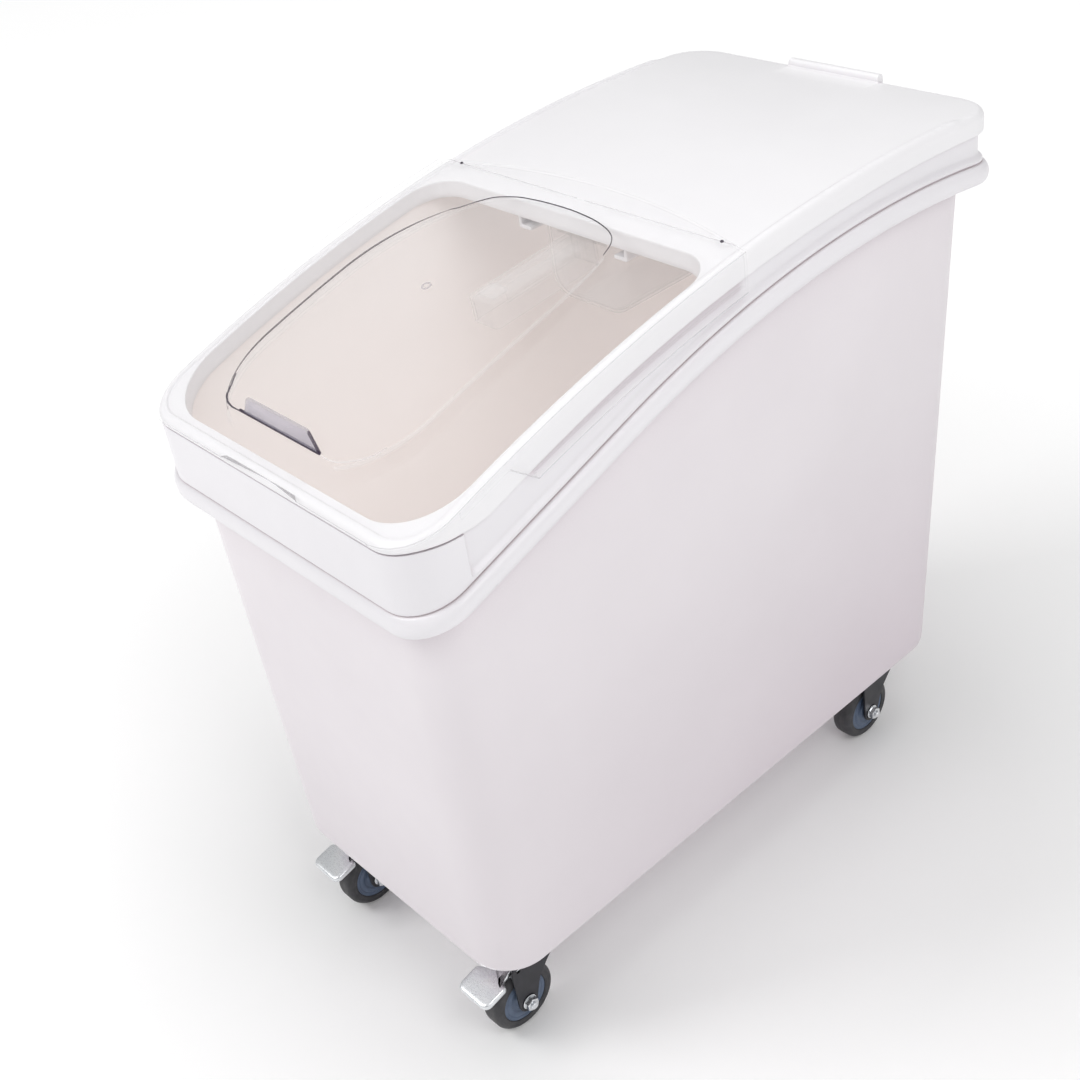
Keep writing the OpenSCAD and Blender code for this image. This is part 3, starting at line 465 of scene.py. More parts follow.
def tub_shape():
    """One-piece tub: from the floor's underside up the walls, over bead and rim, and down the inside."""
    rows = []
    for t in angles(0, 90, 9):
        d = BOTTOM_R * (1 - math.sin(t))
        rows.append(lift(wall(0, d, TUB_R - d), FLOOR_Z + BOTTOM_R * (1 - math.cos(t))))
    top = wall(1, 0, TUB_R)
    top_z = bead_z(top[:, 1])
    wall_z = FLOOR_Z + BOTTOM_R
    for share in np.linspace(0, 1, 25)[1:]:
        rows.append(lift(wall(share, 0, TUB_R), wall_z + (top_z - BEAD_FILLET - wall_z) * share))
    rim = collar(0)
    for t in angles(0, 90, 6)[1:]:
        share = BEAD_FOOT * (1 - math.cos(t))
        rows.append(on_bead(top * (1 - share) + rim * share, -BEAD_FILLET * (1 - math.sin(t))))
    band_from = len(rows)
    for a in angles(-90, 90, 17):
        out = math.cos(a)
        xy = loop_xy(LID_HW + BEAD_REACH * out, -LID_HL - BEAD_END * out, LID_HL + BEAD_END * out,
                     LID_CORNER + BEAD_END * out)
        rows.append(on_bead(xy, BEAD_H * (1 + math.sin(a)) / 2))
    in_groove = smooth(rim[:, 1], GROOVE_Y, GROOVE_Y + GROOVE_RAMP)

    def grooved(d, least=0.0):
        return rim + (collar(d) - rim) * np.maximum(in_groove, least)[:, None]

    def under_lip(xy):
        return arc_z(xy[:, 1], lip_d(xy[:, 1]) - RIM_GAP)
    for d, up in [(1.0, 0.1), (1.2, 0.7)]:
        rows.append(on_bead(collar(d), BEAD_H + up))
    for d, up in [(0.0, 1.7), (0.0, 2.6), (0.15, 3.6), (0.6, 4.4), (1.3, 5.0), (3.4, 6.9), (4.1, 7.6), (4.55, 8.6),
                  (4.8, 10.2)]:
        rows.append(on_bead(grooved(d), BEAD_H + up))
    foot = grooved(GROOVE_IN)
    foot_z, ledge_z = under_lip(foot), rows[-1][:, 2]
    for t in (0.35, 0.7, 0.93):
        rows.append(lift(foot, ledge_z + (foot_z - ledge_z) * t))
    for edge in (grooved(GROOVE_IN, GROOVE_LEAST), collar(GROOVE_IN + 0.3)):
        rows.append(lift(edge, under_lip(edge)))
    for d, high in [(0.3, RIM_TOP_D - 1.2), (1.2, RIM_TOP_D), (RIM_T - 1.0, RIM_TOP_D)]:
        rows.append(on_arc(collar(GROOVE_IN + d), high))
    inside_from = len(rows)
    for high in (RIM_TOP_D - 1.0, RIM_FOOT_D):
        rows.append(on_arc(collar(GROOVE_IN + RIM_T), high))
    inner_z = bead_z(wall(1, WALL_T, TUB_R - WALL_T)[:, 1])
    low_z = FLOOR_Z + FLOOR_T + BOTTOM_R
    for share in np.linspace(1, 0, 15):
        rows.append(lift(wall(share, WALL_T, TUB_R - WALL_T), low_z + (inner_z - low_z) * share))
    for t in angles(0, 90, 7)[1:]:
        d = WALL_T + BOTTOM_R * (1 - math.cos(t))
        rows.append(lift(wall(0, d, TUB_R - d), low_z - BOTTOM_R * math.sin(t)))
    verts, faces = loft(rows)
    n = len(rows[0])
    mats = [INNER if i >= (inside_from - 1) * n else BAND if i >= (band_from - 1) * n else OUTER
            for i in range(len(faces))]
    # The last face but one is the cap under the floor
    mats[-2] = OUTER
    return Shape().add(verts, faces, mats)


piece("tub_moulding", tub_shape(), "tub", [WHITE, INSIDE, LIT_BAND_WHITE], ["tub"])

# Lid
OPEN_HW, OPEN_FRONT, OPEN_REAR, OPEN_FRONT_R, OPEN_REAR_R = 182.1, -355.8, -15.0, 58.0, 36.0
FLANGE_H, FLANGE_T, PANEL_D, UNDER_D, LID_T = 18.0, 3.6, -2.0, -4.6, 4.0
TAB_HW = 57.0
RAIL_END, RAIL_FADE = 305.0, 7.0
OPEN_ROLL, OPEN_DRAFT = 3.0, 0.4
# Section of rail and rear tab as (depth in from the edge, height over the lid's curve), up to the panel
RAIL_ROLL = [(0, -7.6), (0.22, -5.8), (0.85, -3.9), (1.9, -2.2), (3.2, -1.0), (4.6, -0.3), (5.8, 0), (7.4, 0),
             (8.3, -0.25), (9.0, -0.9), (9.6, -1.6), (10.4, -2.0)]
TAB_ROLL = [(0, -4.5), (0, 0), (0, 3.4), (0.45, 4.8), (1.3, 5.7), (2.6, 6.0), (5.4, 6.0), (6.6, 5.6), (7.4, 4.6),
            (8.0, 2.2), (8.5, -0.6), (10.4, -2.0)]
RAIL_TOP = 8


def opening(e):
    """Outline of the front opening, moved out by e."""
    return loop_xy(OPEN_HW + e, OPEN_FRONT - e, OPEN_REAR + e, OPEN_FRONT_R + e, OPEN_REAR_R + e)


def lid_shape():
    """White lid: from the lip over rail and rear tab to the opening, down its flange and back along the underside."""
    rows = []
    edge = collar(0)
    tab = np.where(edge[:, 1] > LID_HL - 1, 1 - smooth(np.abs(edge[:, 0]), TAB_HW - 0.2, TAB_HW + 1.0), 0)
    rail = 1 - smooth(edge[:, 1], RAIL_END - RAIL_FADE, RAIL_END + RAIL_FADE)

    def on(d_in, d):
        rows.append(on_arc(collar(d_in), d))
    low = lip_d(edge[:, 1])
    rail_foot = RAIL_ROLL[0][1]
    squeeze = np.minimum(1.0, (low - PANEL_D) / rail_foot)
    for d_in, up in [(1.3, 0.0), (0.5, 0.25), (0.1, 0.8), (0.0, 1.6)]:
        on(d_in, low + up)
    for t in (0.3, 0.6, 0.85):
        on(0.0, (low + 1.6) * (1 - t) + (rail_foot * squeeze + PANEL_D * (1 - rail)) * t)
    for k, ((i0, d0), (i1, d1)) in enumerate(zip(RAIL_ROLL, TAB_ROLL)):
        raised, plain = (d0 * squeeze, d0 + PANEL_D) if k < RAIL_TOP else (d0, PANEL_D)
        base = raised * rail + plain * (1 - rail)
        xy = collar(i0) + (collar(i1) - collar(i0)) * tab[:, None]
        rows.append(on_arc(xy, base * (1 - tab) + d1 * tab))
    start, end = collar(RAIL_ROLL[-1][0]), opening(OPEN_ROLL)
    for t in np.linspace(0, 1, 15)[1:]:
        rows.append(on_arc(start * (1 - t) + end * t, PANEL_D))
    for a in angles(0, 90, 6)[1:]:
        xy = opening(OPEN_ROLL * (1 - OPEN_DRAFT * math.sin(a)))
        rows.append(on_arc(xy, PANEL_D - OPEN_ROLL * (1 - math.cos(a))))
    for e, d in [(1.0, -9.0), (0.4, -13.0), (0, -FLANGE_H + 1.0), (0.3, -FLANGE_H + 0.3), (1.0, -FLANGE_H),
                 (FLANGE_T - 1.0, -FLANGE_H), (FLANGE_T - 0.3, -FLANGE_H + 0.3), (FLANGE_T, -FLANGE_H + 1.0),
                 (FLANGE_T, UNDER_D - 2.0)]:
        rows.append(on_arc(opening(e), d))
    start, end = opening(FLANGE_T + 1.2), collar(LID_T + 1.5)
    for t in np.linspace(0, 1, 12):
        rows.append(on_arc(start * (1 - t) + end * t, UNDER_D))
    for d_in, d in [(0.4, UNDER_D - 0.5), (0.0, UNDER_D - 1.8), (0.0, (low + UNDER_D) / 2), (0.0, low + 0.8),
                    (-0.8, low)]:
        on(LID_T + d_in, d)
    return Shape().add(*loft(rows, ring=True))


piece("lid_moulding", lid_shape(), "lid", [LID_WHITE], ["lid"])

# Scoop hooks under the crossbar
HOOK_Y0, HOOK_Y1, HOOK_IN, HOOK_OUT, HOOK_T = -10.8, 23.2, 55.0, 72.0, 4.0
SCOOP_FLANGE_DROP, SCOOP_FLANGE_T, HOOK_GAP = 0.6, 3.0, 0.3
SCOOP_RIM = float(arc_z(0, -FLANGE_H)) - 8.0
SCOOP_FLANGE_Z = SCOOP_RIM - SCOOP_FLANGE_DROP - SCOOP_FLANGE_T
FOOT_Z = SCOOP_FLANGE_Z - HOOK_GAP
HOOK_TOP = float(arc_z(HOOK_Y0, UNDER_D)) + 0.5


def hook_shape(side):
    wall_x = HOOK_OUT - HOOK_T
    outline = rounded([(HOOK_IN, FOOT_Z - HOOK_T), (HOOK_OUT, FOOT_Z - HOOK_T), (HOOK_OUT, HOOK_TOP),
                       (wall_x, HOOK_TOP), (wall_x, FOOT_Z), (HOOK_IN, FOOT_Z)], [1.5, 3.0, 0.3, 0.3, 1.2, 1.5])
    rows = [upright(r[:, :2] * (side, 1), HOOK_Y0 + r[:, 2]) for r in slab(outline, 0, HOOK_Y1 - HOOK_Y0)]
    return Shape().add(*loft(rows))


for tag, side in (("left", -1), ("right", 1)):
    piece(f"hook_{tag}", hook_shape(side), "lid", [LID_WHITE], [f"scoop_hook_{tag}"])

# Clear sliding lid
SHEET_T, SHEET_LO = 2.6, 1.0
SHEET_HI = SHEET_LO + SHEET_T
SKIRT_IN = 197.7
SKIRT_OUT = SKIRT_IN + SHEET_T
CLEAR_FRONT, CLEAR_REAR, TONGUE_Y, TONGUE_HW = -377.5, 3.0, 33.0, 181.0
HOOK_FRONT, HOOK_LOW, SKIRT_FRONT, HOOK_SLANT = -244.0, -34.6, -322.0, 27.0
FINGER_HW, FINGER_CUT = 52.0, 3.5
PLAT_HW, PLAT_FRONT, PLAT_REAR, PLAT_H = 119.0, -352.5, -22.0, 14.0
PLAT_CORNER_W, PLAT_FRONT_L, PLAT_REAR_L, PLAT_RAMP, PLAT_SLOPE = 60.0, 80.0, 160.0, 4.0, 4.0
SLOT_Y, SLOT_HW = 6.0, 170.0
SKIRT_LOW, PLAIN_LOW = -6.0, 0.4
CLEAR_CORNER, TONGUE_FALL = 48.8, 25.0
EDGE_ROLL, EDGE_DROP, SLOT_DEPTH, SLOT_W = 1.2, 0.9, 0.9, 1.1
HOOK_REACH, PLAIN_REACH, SHELF_H, BEND_REACH = 4.6, 0.3, 6.0, 3.2
GRIP_FOOT_HW, GRIP_TOP_HW, GRIP_H, GRIP_T, GRIP_DARK = 55.0, 44.0, 17.0, 3.0, (-52.0, 44.5)
STRIP_LEFT, STRIP_RIGHT, STRIP_W = -61.5, 56.5, 2.3
SLOT_HOLE_XS, GATE_X, GATE_Y = (-168.0, 171.0), -14.0, -168.0
# Length over which the section changes at the end of a skirt or hook, and the least length of a strip
JUMP, STATION_GAP = 0.4, 0.12


def clear_hw(y):
    """Half width of the clear lid: rounded front corners, and a tongue that narrows behind the skirts."""
    if y > CLEAR_REAR + JUMP / 2:
        return min(SKIRT_OUT, TONGUE_HW * math.sqrt(max(0.0, TONGUE_Y - y) / TONGUE_FALL))
    v, r = y - CLEAR_FRONT, CLEAR_CORNER
    return SKIRT_OUT - (0 if v >= r else r - math.sqrt(max(0.0, r * r - (r - v) ** 2)))


# Fold lines of the plateau: round its rear, and round its front corners to the foot of the grip
CORNER_PATH = [(110.5, -316), (106, -325.5), (99, -333.5), (91, -340), (82, -344.8), (72, -346.8), (60, -346.6)]
ARCH_PATH = [(-100.6, -67), (-98.4, -56), (-94.5, -43), (-84, -27), (-59, -16), (-26, -12.5),
             (8, -12), (40, -15.5), (63, -22), (78, -31), (88, -43), (96, -60)]


def plateau_x(y):
    """Half width of the plateau, rounded at its front and its rear."""
    def cut(v, length):
        u = 1 - min(1.0, max(0.0, v / length))
        return PLAT_CORNER_W * (1 - math.sqrt(1 - u * u))
    return PLAT_HW - max(cut(y - PLAT_FRONT, PLAT_FRONT_L), cut(PLAT_REAR - y, PLAT_REAR_L))


def plateau_rise(y):
    """Height of the plateau over the sheet."""
    back = min(1.0, max(0.0, (PLAT_REAR - y) / PLAT_REAR_L))
    return PLAT_H * float(smooth(y, PLAT_FRONT, PLAT_FRONT + PLAT_RAMP)) * math.sin(math.pi / 2 * back)


def clear_section(y):
    """Closed section of the clear lid at a place along the length: (x, y, z) points and a finish for each strip."""
    w = clear_hw(y)
    px = min(plateau_x(y), w * 0.7)
    slope = min(PLAT_SLOPE, w * 0.1)
    rise = plateau_rise(y)
    end = EDGE_DROP * (1 - math.sqrt(max(0.0, 1 - (1 - min(1.0, (y - CLEAR_FRONT) / EDGE_ROLL)) ** 2)))
    slot = SLOT_DEPTH * math.exp(-((y - SLOT_Y) / SLOT_W) ** 2)
    if HOOK_FRONT - JUMP <= y <= CLEAR_REAR:
        low = HOOK_LOW
    elif SKIRT_FRONT <= y <= CLEAR_REAR:
        low = SKIRT_LOW + (HOOK_LOW - SKIRT_LOW) * max(0.0, (y - HOOK_FRONT + HOOK_SLANT) / (HOOK_SLANT - JUMP))
    else:
        low = PLAIN_LOW
    reach = HOOK_REACH if HOOK_FRONT <= y <= CLEAR_REAR - JUMP else PLAIN_REACH
    shelf = min(SHELF_H, (SHEET_LO - low) * 0.4)
    inner = w - SHEET_T
    soft = min(1.0, w / 60)
    bend = [(-BEND_REACH, 1.0), (-1.7, 0.985), (-0.7, 0.93), (0.1 * slope, 0.83), (0.22 * slope, 0.72),
            (0.5 * slope, 0.5), (0.9 * slope, 0.17), (slope + 0.7, 0.07), (slope + 1.7, 0.015),
            (slope + BEND_REACH, 0.0)]
    flat_x = px + (slope + BEND_REACH) * soft
    edge = min(EDGE_ROLL, w * 0.02)
    top = [(px * t, rise, FACE) for t in (0.08, 0.24, 0.4, 0.56, 0.72, 0.86)]
    # The plateau's walls carry the painted shade of its edge line
    line = DARK if PLAT_FRONT + PLAT_RAMP - 0.6 < y < ARCH_PATH[0][1] else FACE
    top += [(px + o * soft, rise * s, line if k in (2, 3) else FACE) for k, (o, s) in enumerate(bend)]
    top += [(flat_x + (w - edge - flat_x) * t, 0.0, FACE) for t in (0.25, 0.5, 0.75, 1.0)]
    xs = np.array([p[0] for p in top])
    rises = np.array([p[1] for p in top])
    tags = [RIM if abs(y - SLOT_Y) < 0.6 and p[0] < SLOT_HW else p[2] for p in top]
    groove = slot * (1 - smooth(xs, SLOT_HW - 3, SLOT_HW))
    upper = list(zip(xs, SHEET_HI - end - groove + rises, tags))
    side = low + min(0.6, shelf / 3)
    bar = RIM if HOOK_FRONT - HOOK_SLANT <= y < CLEAR_REAR - JUMP / 2 else FACE
    tongue = FACE if y > CLEAR_REAR - JUMP / 2 else RIM
    upper += [(w - edge * 0.3, SHEET_HI - end - 0.35 * soft, tongue), (w, SHEET_HI - end - EDGE_ROLL * soft, FACE),
              (w, side + 1.0 if low < 0 else EDGE_ROLL, bar), (w, side, bar)]
    turn = min(0.5, shelf / 3)
    under = [(x, d, FACE) for x, d in [
        (w - 0.6 * soft, low), (inner - reach + 0.5 * soft, low), (inner - reach, low + turn),
        (inner - reach, low + shelf - turn), (inner - reach * 0.9, low + shelf),
        (inner - 0.1 * soft, low + shelf + 0.2), (inner, (SHEET_LO + low + shelf) / 2), (inner, SHEET_LO - 0.4)]]
    back = [(min(x - 0.6 * soft, inner - 0.5 * soft), SHEET_LO + end * 0.6 + h, FACE) for x, h in
            zip(xs[::-1], rises[::-1])]
    half = upper + under + back
    strip = [q[2] for q in half]
    # The right walls of the plateau take the painted highlight where the left walls take the painted shade
    right = [LIGHT if t == DARK else t for t in strip]
    left = strip[-2::-1] + [FACE]
    pts = np.array([(x, d) for x, d, _ in half] + [(-x, d) for x, d, _ in half[::-1]])
    cut = FINGER_CUT * (1 - smooth(np.abs(pts[:, 0]), FINGER_HW - 2, FINGER_HW + 2))
    ys = y + cut * float(np.clip((CLEAR_FRONT + 14 - y) / 14, 0, 1))
    return np.column_stack([pts[:, 0], ys, arc_z(ys, pts[:, 1])]), right + left


def clear_stations():
    """Places along the length where the clear lid's section is taken."""
    ys = [CLEAR_FRONT + CLEAR_CORNER * (1 - math.cos(math.pi / 2 * k / 16)) for k in range(17)]
    ys += [CLEAR_FRONT + 0.15, CLEAR_FRONT + 0.4, CLEAR_FRONT + 0.8, CLEAR_FRONT + 1.2]
    ys += list(PLAT_FRONT + np.array([0, 0.4, 0.9, 1.5, 2.2, 3.0, 3.6, 4.0, 5.0, 6.5, 8.5, 11.0, 14.0, 18.0]))
    ys += list(np.linspace(SKIRT_FRONT, -2, 54))
    ys += [SKIRT_FRONT - JUMP, SKIRT_FRONT, HOOK_FRONT - HOOK_SLANT, HOOK_FRONT - JUMP, HOOK_FRONT]
    ys += list(SLOT_Y + np.array([-2.2, -1.5, -0.8, -0.3, 0.3, 0.8, 1.5, 2.2]))
    tongue_from = CLEAR_REAR + JUMP
    ys += [CLEAR_REAR - JUMP, CLEAR_REAR, tongue_from]
    ys += [tongue_from + (TONGUE_Y - tongue_from - 0.05) * math.sin(math.pi / 2 * k / 14) for k in range(1, 15)]
    kept = []
    for y in sorted(ys):
        if not kept or y - kept[-1] > STATION_GAP:
            kept.append(y)
    return kept


def grip_rows():
    """Upright grip rib across the front of the plateau."""
    y0 = PLAT_FRONT + PLAT_RAMP + 2.0
    low = float(arc_z(y0, SHEET_LO + PLAT_H + 1.6))
    top = float(arc_z(y0, SHEET_HI + PLAT_H + GRIP_H))
    outline = rounded([(-GRIP_FOOT_HW, low), (GRIP_FOOT_HW, low), (GRIP_TOP_HW, top), (-GRIP_TOP_HW, top)],
                      [0.6, 0.6, 5.0, 5.0])
    return [upright(r[:, :2], y0 + r[:, 2]) for r in slab(outline, 0, GRIP_T, 0.9)]


def grip_tags(rows, faces):
    """Finish of each face of the grip: pale faces and top edge, painted shade along the foot and down the ends."""
    pts = np.concatenate(rows)
    low = pts[:, 2].min()
    tags = []
    for f in faces[:-2]:
        x, z = pts[f, 0].mean(), pts[f, 2].mean()
        tags.append(RIM if z >= low + 1.2 and GRIP_DARK[0] <= x <= GRIP_DARK[1] else DARK)
    return tags + [GRIP, GRIP]


def spot(x, y, d, profile):
    """Small turned mark standing on the clear sheet, leaning with the lid's curve."""
    verts, faces = lathe(profile, (0, 0, 0), "z", 28)
    return tilted(verts, math.atan2(LID_Y - y, LID_R), (x, y, float(arc_z(y, d)))), faces


def fold_rows(path, half_width):
    """Fine fold line along a path over the plateau, standing on the sheet."""
    path = np.array(path, float)
    share = np.linspace(0, len(path) - 1, 80)
    line = np.stack([np.interp(share, range(len(path)), path[:, k]) for k in (0, 1)], 1)
    for _ in range(6):
        line[1:-1] = (line[:-2] + 2 * line[1:-1] + line[2:]) / 4
    along = np.gradient(line, axis=0)
    along /= np.linalg.norm(along, axis=1)[:, None]
    across = np.stack([-along[:, 1], along[:, 0]], 1)
    rows = []
    for k, (at, side) in enumerate(zip(line, across)):
        half = half_width * math.sin(math.pi * (k + 0.5) / len(line)) ** 0.4
        beyond = abs(at[0]) - plateau_x(at[1])
        fall = np.interp(beyond, [-BEND_REACH, 0.0, PLAT_SLOPE / 2, PLAT_SLOPE + BEND_REACH], [1.0, 0.85, 0.5, 0.0])
        base = SHEET_HI + plateau_rise(at[1]) * float(fall)
        rows.append(np.array([(*(at + side * half * o), float(arc_z(at[1], base + h)))
                              for o, h in [(-1, -0.4), (1, -0.4), (0.7, 0.3), (-0.7, 0.3)]]))
    return rows


sections = [clear_section(y) for y in clear_stations()]
verts, faces = loft([p for p, _ in sections])
strips = [t for _, tags in sections[:-1] for t in tags] + [RIM, FACE]
clear = Shape().add(verts, faces, strips)
grip = grip_rows()
verts, faces = loft(grip)
clear.add(verts, faces, grip_tags(grip, faces))
# A dark strip along the grip's foot: painted shade
foot_y = PLAT_FRONT + PLAT_RAMP + 1.2
foot_d = SHEET_HI + PLAT_H
foot = rounded(box(STRIP_LEFT, foot_y, STRIP_RIGHT, foot_y + STRIP_W), 1.0, 4)
foot_rows = [on_arc(r[:, :2], foot_d + r[:, 2]) for r in slab(foot, -0.4, 1.0, 0.6)]
clear.add(*loft(foot_rows), mat=DARK)
# Fold lines over the plateau: painted shade on the left and round the rear arch, a painted highlight on the right
clear.add(*loft(fold_rows(ARCH_PATH, half_width=0.55)), mat=DARK)
clear.add(*loft(fold_rows([(-x, y) for x, y in CORNER_PATH], half_width=1.0)), mat=DARK)
clear.add(*loft(fold_rows([(x - 3.0, y) for x, y in CORNER_PATH], half_width=0.7)), mat=LIGHT)
# Dark spots at the ends of the slot: painted shade in its small holes
pin = [(0.05, 0.9), (0.9, 0.8), (1.5, 0.35), (1.7, -0.6), (0.05, -0.6)]
for x in SLOT_HOLE_XS:
    clear.add(*spot(x, SLOT_Y, SHEET_HI, pin), mat=DARK)
gate = [(3.2, -0.2), (3.4, 0.35), (4.0, 0.5), (4.6, 0.35), (4.8, -0.2)]
clear.add(*spot(GATE_X, GATE_Y, SHEET_HI + plateau_rise(GATE_Y), gate), mat=RIM)
piece("clear_lid_sheet", clear, "clear_lid", CLEAR_SET, ["clear_lid"], angle=50)

# Scoop
SCOOP_W, SCOOP_H, SCOOP_Y, SCOOP_L, SCOOP_T, BOWL_R = 104.0, 78.0, 2.0, 140.0, 2.4, 26.0
MOUTH_TAN = math.tan(math.radians(32))
BACK_R = 9.0
SCOOP_FLANGE_HW, SCOOP_FLANGE_END = 65.0, 92.0
HANDLE_W, HANDLE_H, HANDLE_L, HANDLE_TILT, HANDLE_DROP = 34.0, 26.0, 130.0, math.radians(5), 4.0


def bowl_section(grow):
    """Half of the bowl's section from the rim down to the middle, moved out by grow, as (x, z)."""
    hw, r, low = SCOOP_W / 2 + grow, BOWL_R + grow, SCOOP_RIM - SCOOP_H - grow
    pts = [(hw, SCOOP_RIM - t) for t in np.linspace(0, SCOOP_H - BOWL_R, 6)]
    pts += [(hw - r + r * math.cos(a), low + r - r * math.sin(a)) for a in angles(9, 90, 10)]
    pts += [(x, low) for x in np.linspace(hw - r, 0, 5)[1:]]
    return np.array(pts)


def mirrored(half):
    left = half[:-1] * (-1, 1)
    return np.concatenate([left, half[::-1]])


def scoop_sheet(grow):
    """Grid of one face of the bowl from the middle of its back wall, round the back edge, to the mouth."""
    rows = []
    rim = SCOOP_RIM
    back_y = SCOOP_Y - grow
    r = BACK_R + grow
    full = mirrored(bowl_section(grow))
    middle = np.array([0.0, rim - 0.45 * SCOOP_H])
    for s in (0.04, 0.35, 0.7):
        sec = mirrored(bowl_section(grow - r))
        q = middle + (sec - middle) * s
        q[:, 1] = rim - (rim - sec[:, 1]) * (0.35 + 0.65 * s) if s > 0.3 else q[:, 1]
        q[0, 1] = q[-1, 1] = rim
        rows.append(upright(q, back_y))
    for a in angles(0, 90, 6):
        sec = mirrored(bowl_section(grow - r * (1 - math.sin(a))))
        sec[0, 1] = sec[-1, 1] = rim
        rows.append(upright(sec, back_y + r * (1 - math.cos(a))))
    mouth = SCOOP_Y + SCOOP_L - MOUTH_TAN * (full[:, 1] - (rim - SCOOP_H))
    start = rows[-1][:, 1]
    for t in np.linspace(0, 1, 13)[1:]:
        rows.append(upright(full, start + (mouth - start) * t))
    return rows


def grid(rows, flip=False):
    n = len(rows[0])
    faces = []
    for k in range(len(rows) - 1):
        for i in range(n - 1):
            f = [k * n + i, k * n + i + 1, (k + 1) * n + i + 1, (k + 1) * n + i]
            faces.append(f[::-1] if flip else f)
    return np.concatenate(rows), faces


def scoop_shape():
    """Bowl with an outer and an inner face joined along the border, and a flange on each side of the rim."""
    shape = Shape()
    outer, inner = scoop_sheet(0.0), scoop_sheet(-SCOOP_T)
    n, m = len(outer[0]), len(outer)
    verts, faces = grid(outer)
    inner_verts, inner_faces = grid(inner, flip=True)
    base = len(verts)
    faces += [[base + i for i in f] for f in inner_faces]
    last = (m - 1) * n
    for line in (range(0, m * n, n), range(n - 1, m * n, n), range(last, last + n), range(n)):
        faces += [[a, b, base + b, base + a] for a, b in zip(line, line[1:])]
    shape.add(np.concatenate([verts, inner_verts]), faces)
    for side in (-1, 1):
        corners = [(side * x, y) for x, y in box(SCOOP_W / 2 - 1.4, SCOOP_Y + 1.5, SCOOP_FLANGE_HW, SCOOP_FLANGE_END)]
        outline = rounded(corners[::side], [0.4, 5.0, 5.0, 0.4][::side])
        shape.add(*loft(slab(outline, SCOOP_FLANGE_Z, SCOOP_RIM - SCOOP_FLANGE_DROP, 0.7)))
    return shape


def add_handle(shape):
    """Open-bottomed box handle with a raised pad near its end and a rib inside, tilted at the bowl's back."""
    w, h, t = HANDLE_W / 2, HANDLE_H, SCOOP_T
    outer = rounded(box(-w, -HANDLE_L, w, -0.5), [5.0, 5.0, 1.0, 1.0])
    hole = inset(outer, t)
    shell = [lift(inset(outer, d), z) for d, z in
             [(3.0, 0.0), (1.2, 0.0), (0.5, -0.2), (0.1, -0.7), (0.0, -1.5), (0.0, -h + 0.7), (0.3, -h + 0.2),
              (0.8, -h)]]
    shell += [lift(inset(hole, d), z) for d, z in
              [(-0.8, -h), (-0.3, -h + 0.2), (0.0, -h + 0.7), (0.0, -t - 1.2), (0.4, -t - 0.4), (1.2, -t)]]
    pad = rounded(box(-11, -123, 11, -104), 3.0)
    rib = rounded(box(-1.2, -100, 1.2, -8), 0.8)
    for rows in (shell, slab(pad, -0.4, 2.2), slab(rib, -h + 8.0, -t + 0.3, 0.4)):
        verts, faces = loft(rows)
        shape.add(tilted(verts, HANDLE_TILT, (0, SCOOP_Y + SCOOP_T, SCOOP_RIM - HANDLE_DROP)), faces)


scoop = scoop_shape()
add_handle(scoop)
piece("scoop_bowl", scoop, "scoop", [SCOOP_CLEAR], ["scoop"], angle=45)

# Casters
TRACK, FRONT_Y, REAR_Y, TRAIL, AXLE_Z = 124.5, -284.0, 272.0, 30.0, 38.0
SPOTS = {"fl": (-TRACK, FRONT_Y), "fr": (TRACK, FRONT_Y), "rl": (-TRACK, REAR_Y), "rr": (TRACK, REAR_Y)}
LEG_X, LEG_T, FORK_TOP = 16.5, 3.0, 102.0
LEG_OUT = LEG_X + LEG_T / 2
EYE_R, FORK_BEND, FORK_EDGE = 12.0, 6.0, 0.5
PIN_Y, PIN_Z = -36.0, 90.0
PEDAL_TILT = math.radians(12.5)
HEX_CHAMFER = 0.969
AXLE_HEX, BOLT_HEX, AXLE_BORE = 13.0, 10.0, 8.0
BOLT_X, BOLT_Y, WASHER_Z, BOLT_LOW, PLATE_Z = 21.0, 24.0, 115.3, 111.3, 116.5
BOLT_SPOTS = [(cx + sx, cy + sy) for cx, cy in SPOTS.values() for sx in (-BOLT_X, BOLT_X) for sy in (-BOLT_Y, BOLT_Y)]


def moved(rows, at, z=0.0):
    return [r + np.array([at[0], at[1], z]) for r in rows]


def wheel_centre(at):
    return at[0], at[1] - TRAIL, AXLE_Z


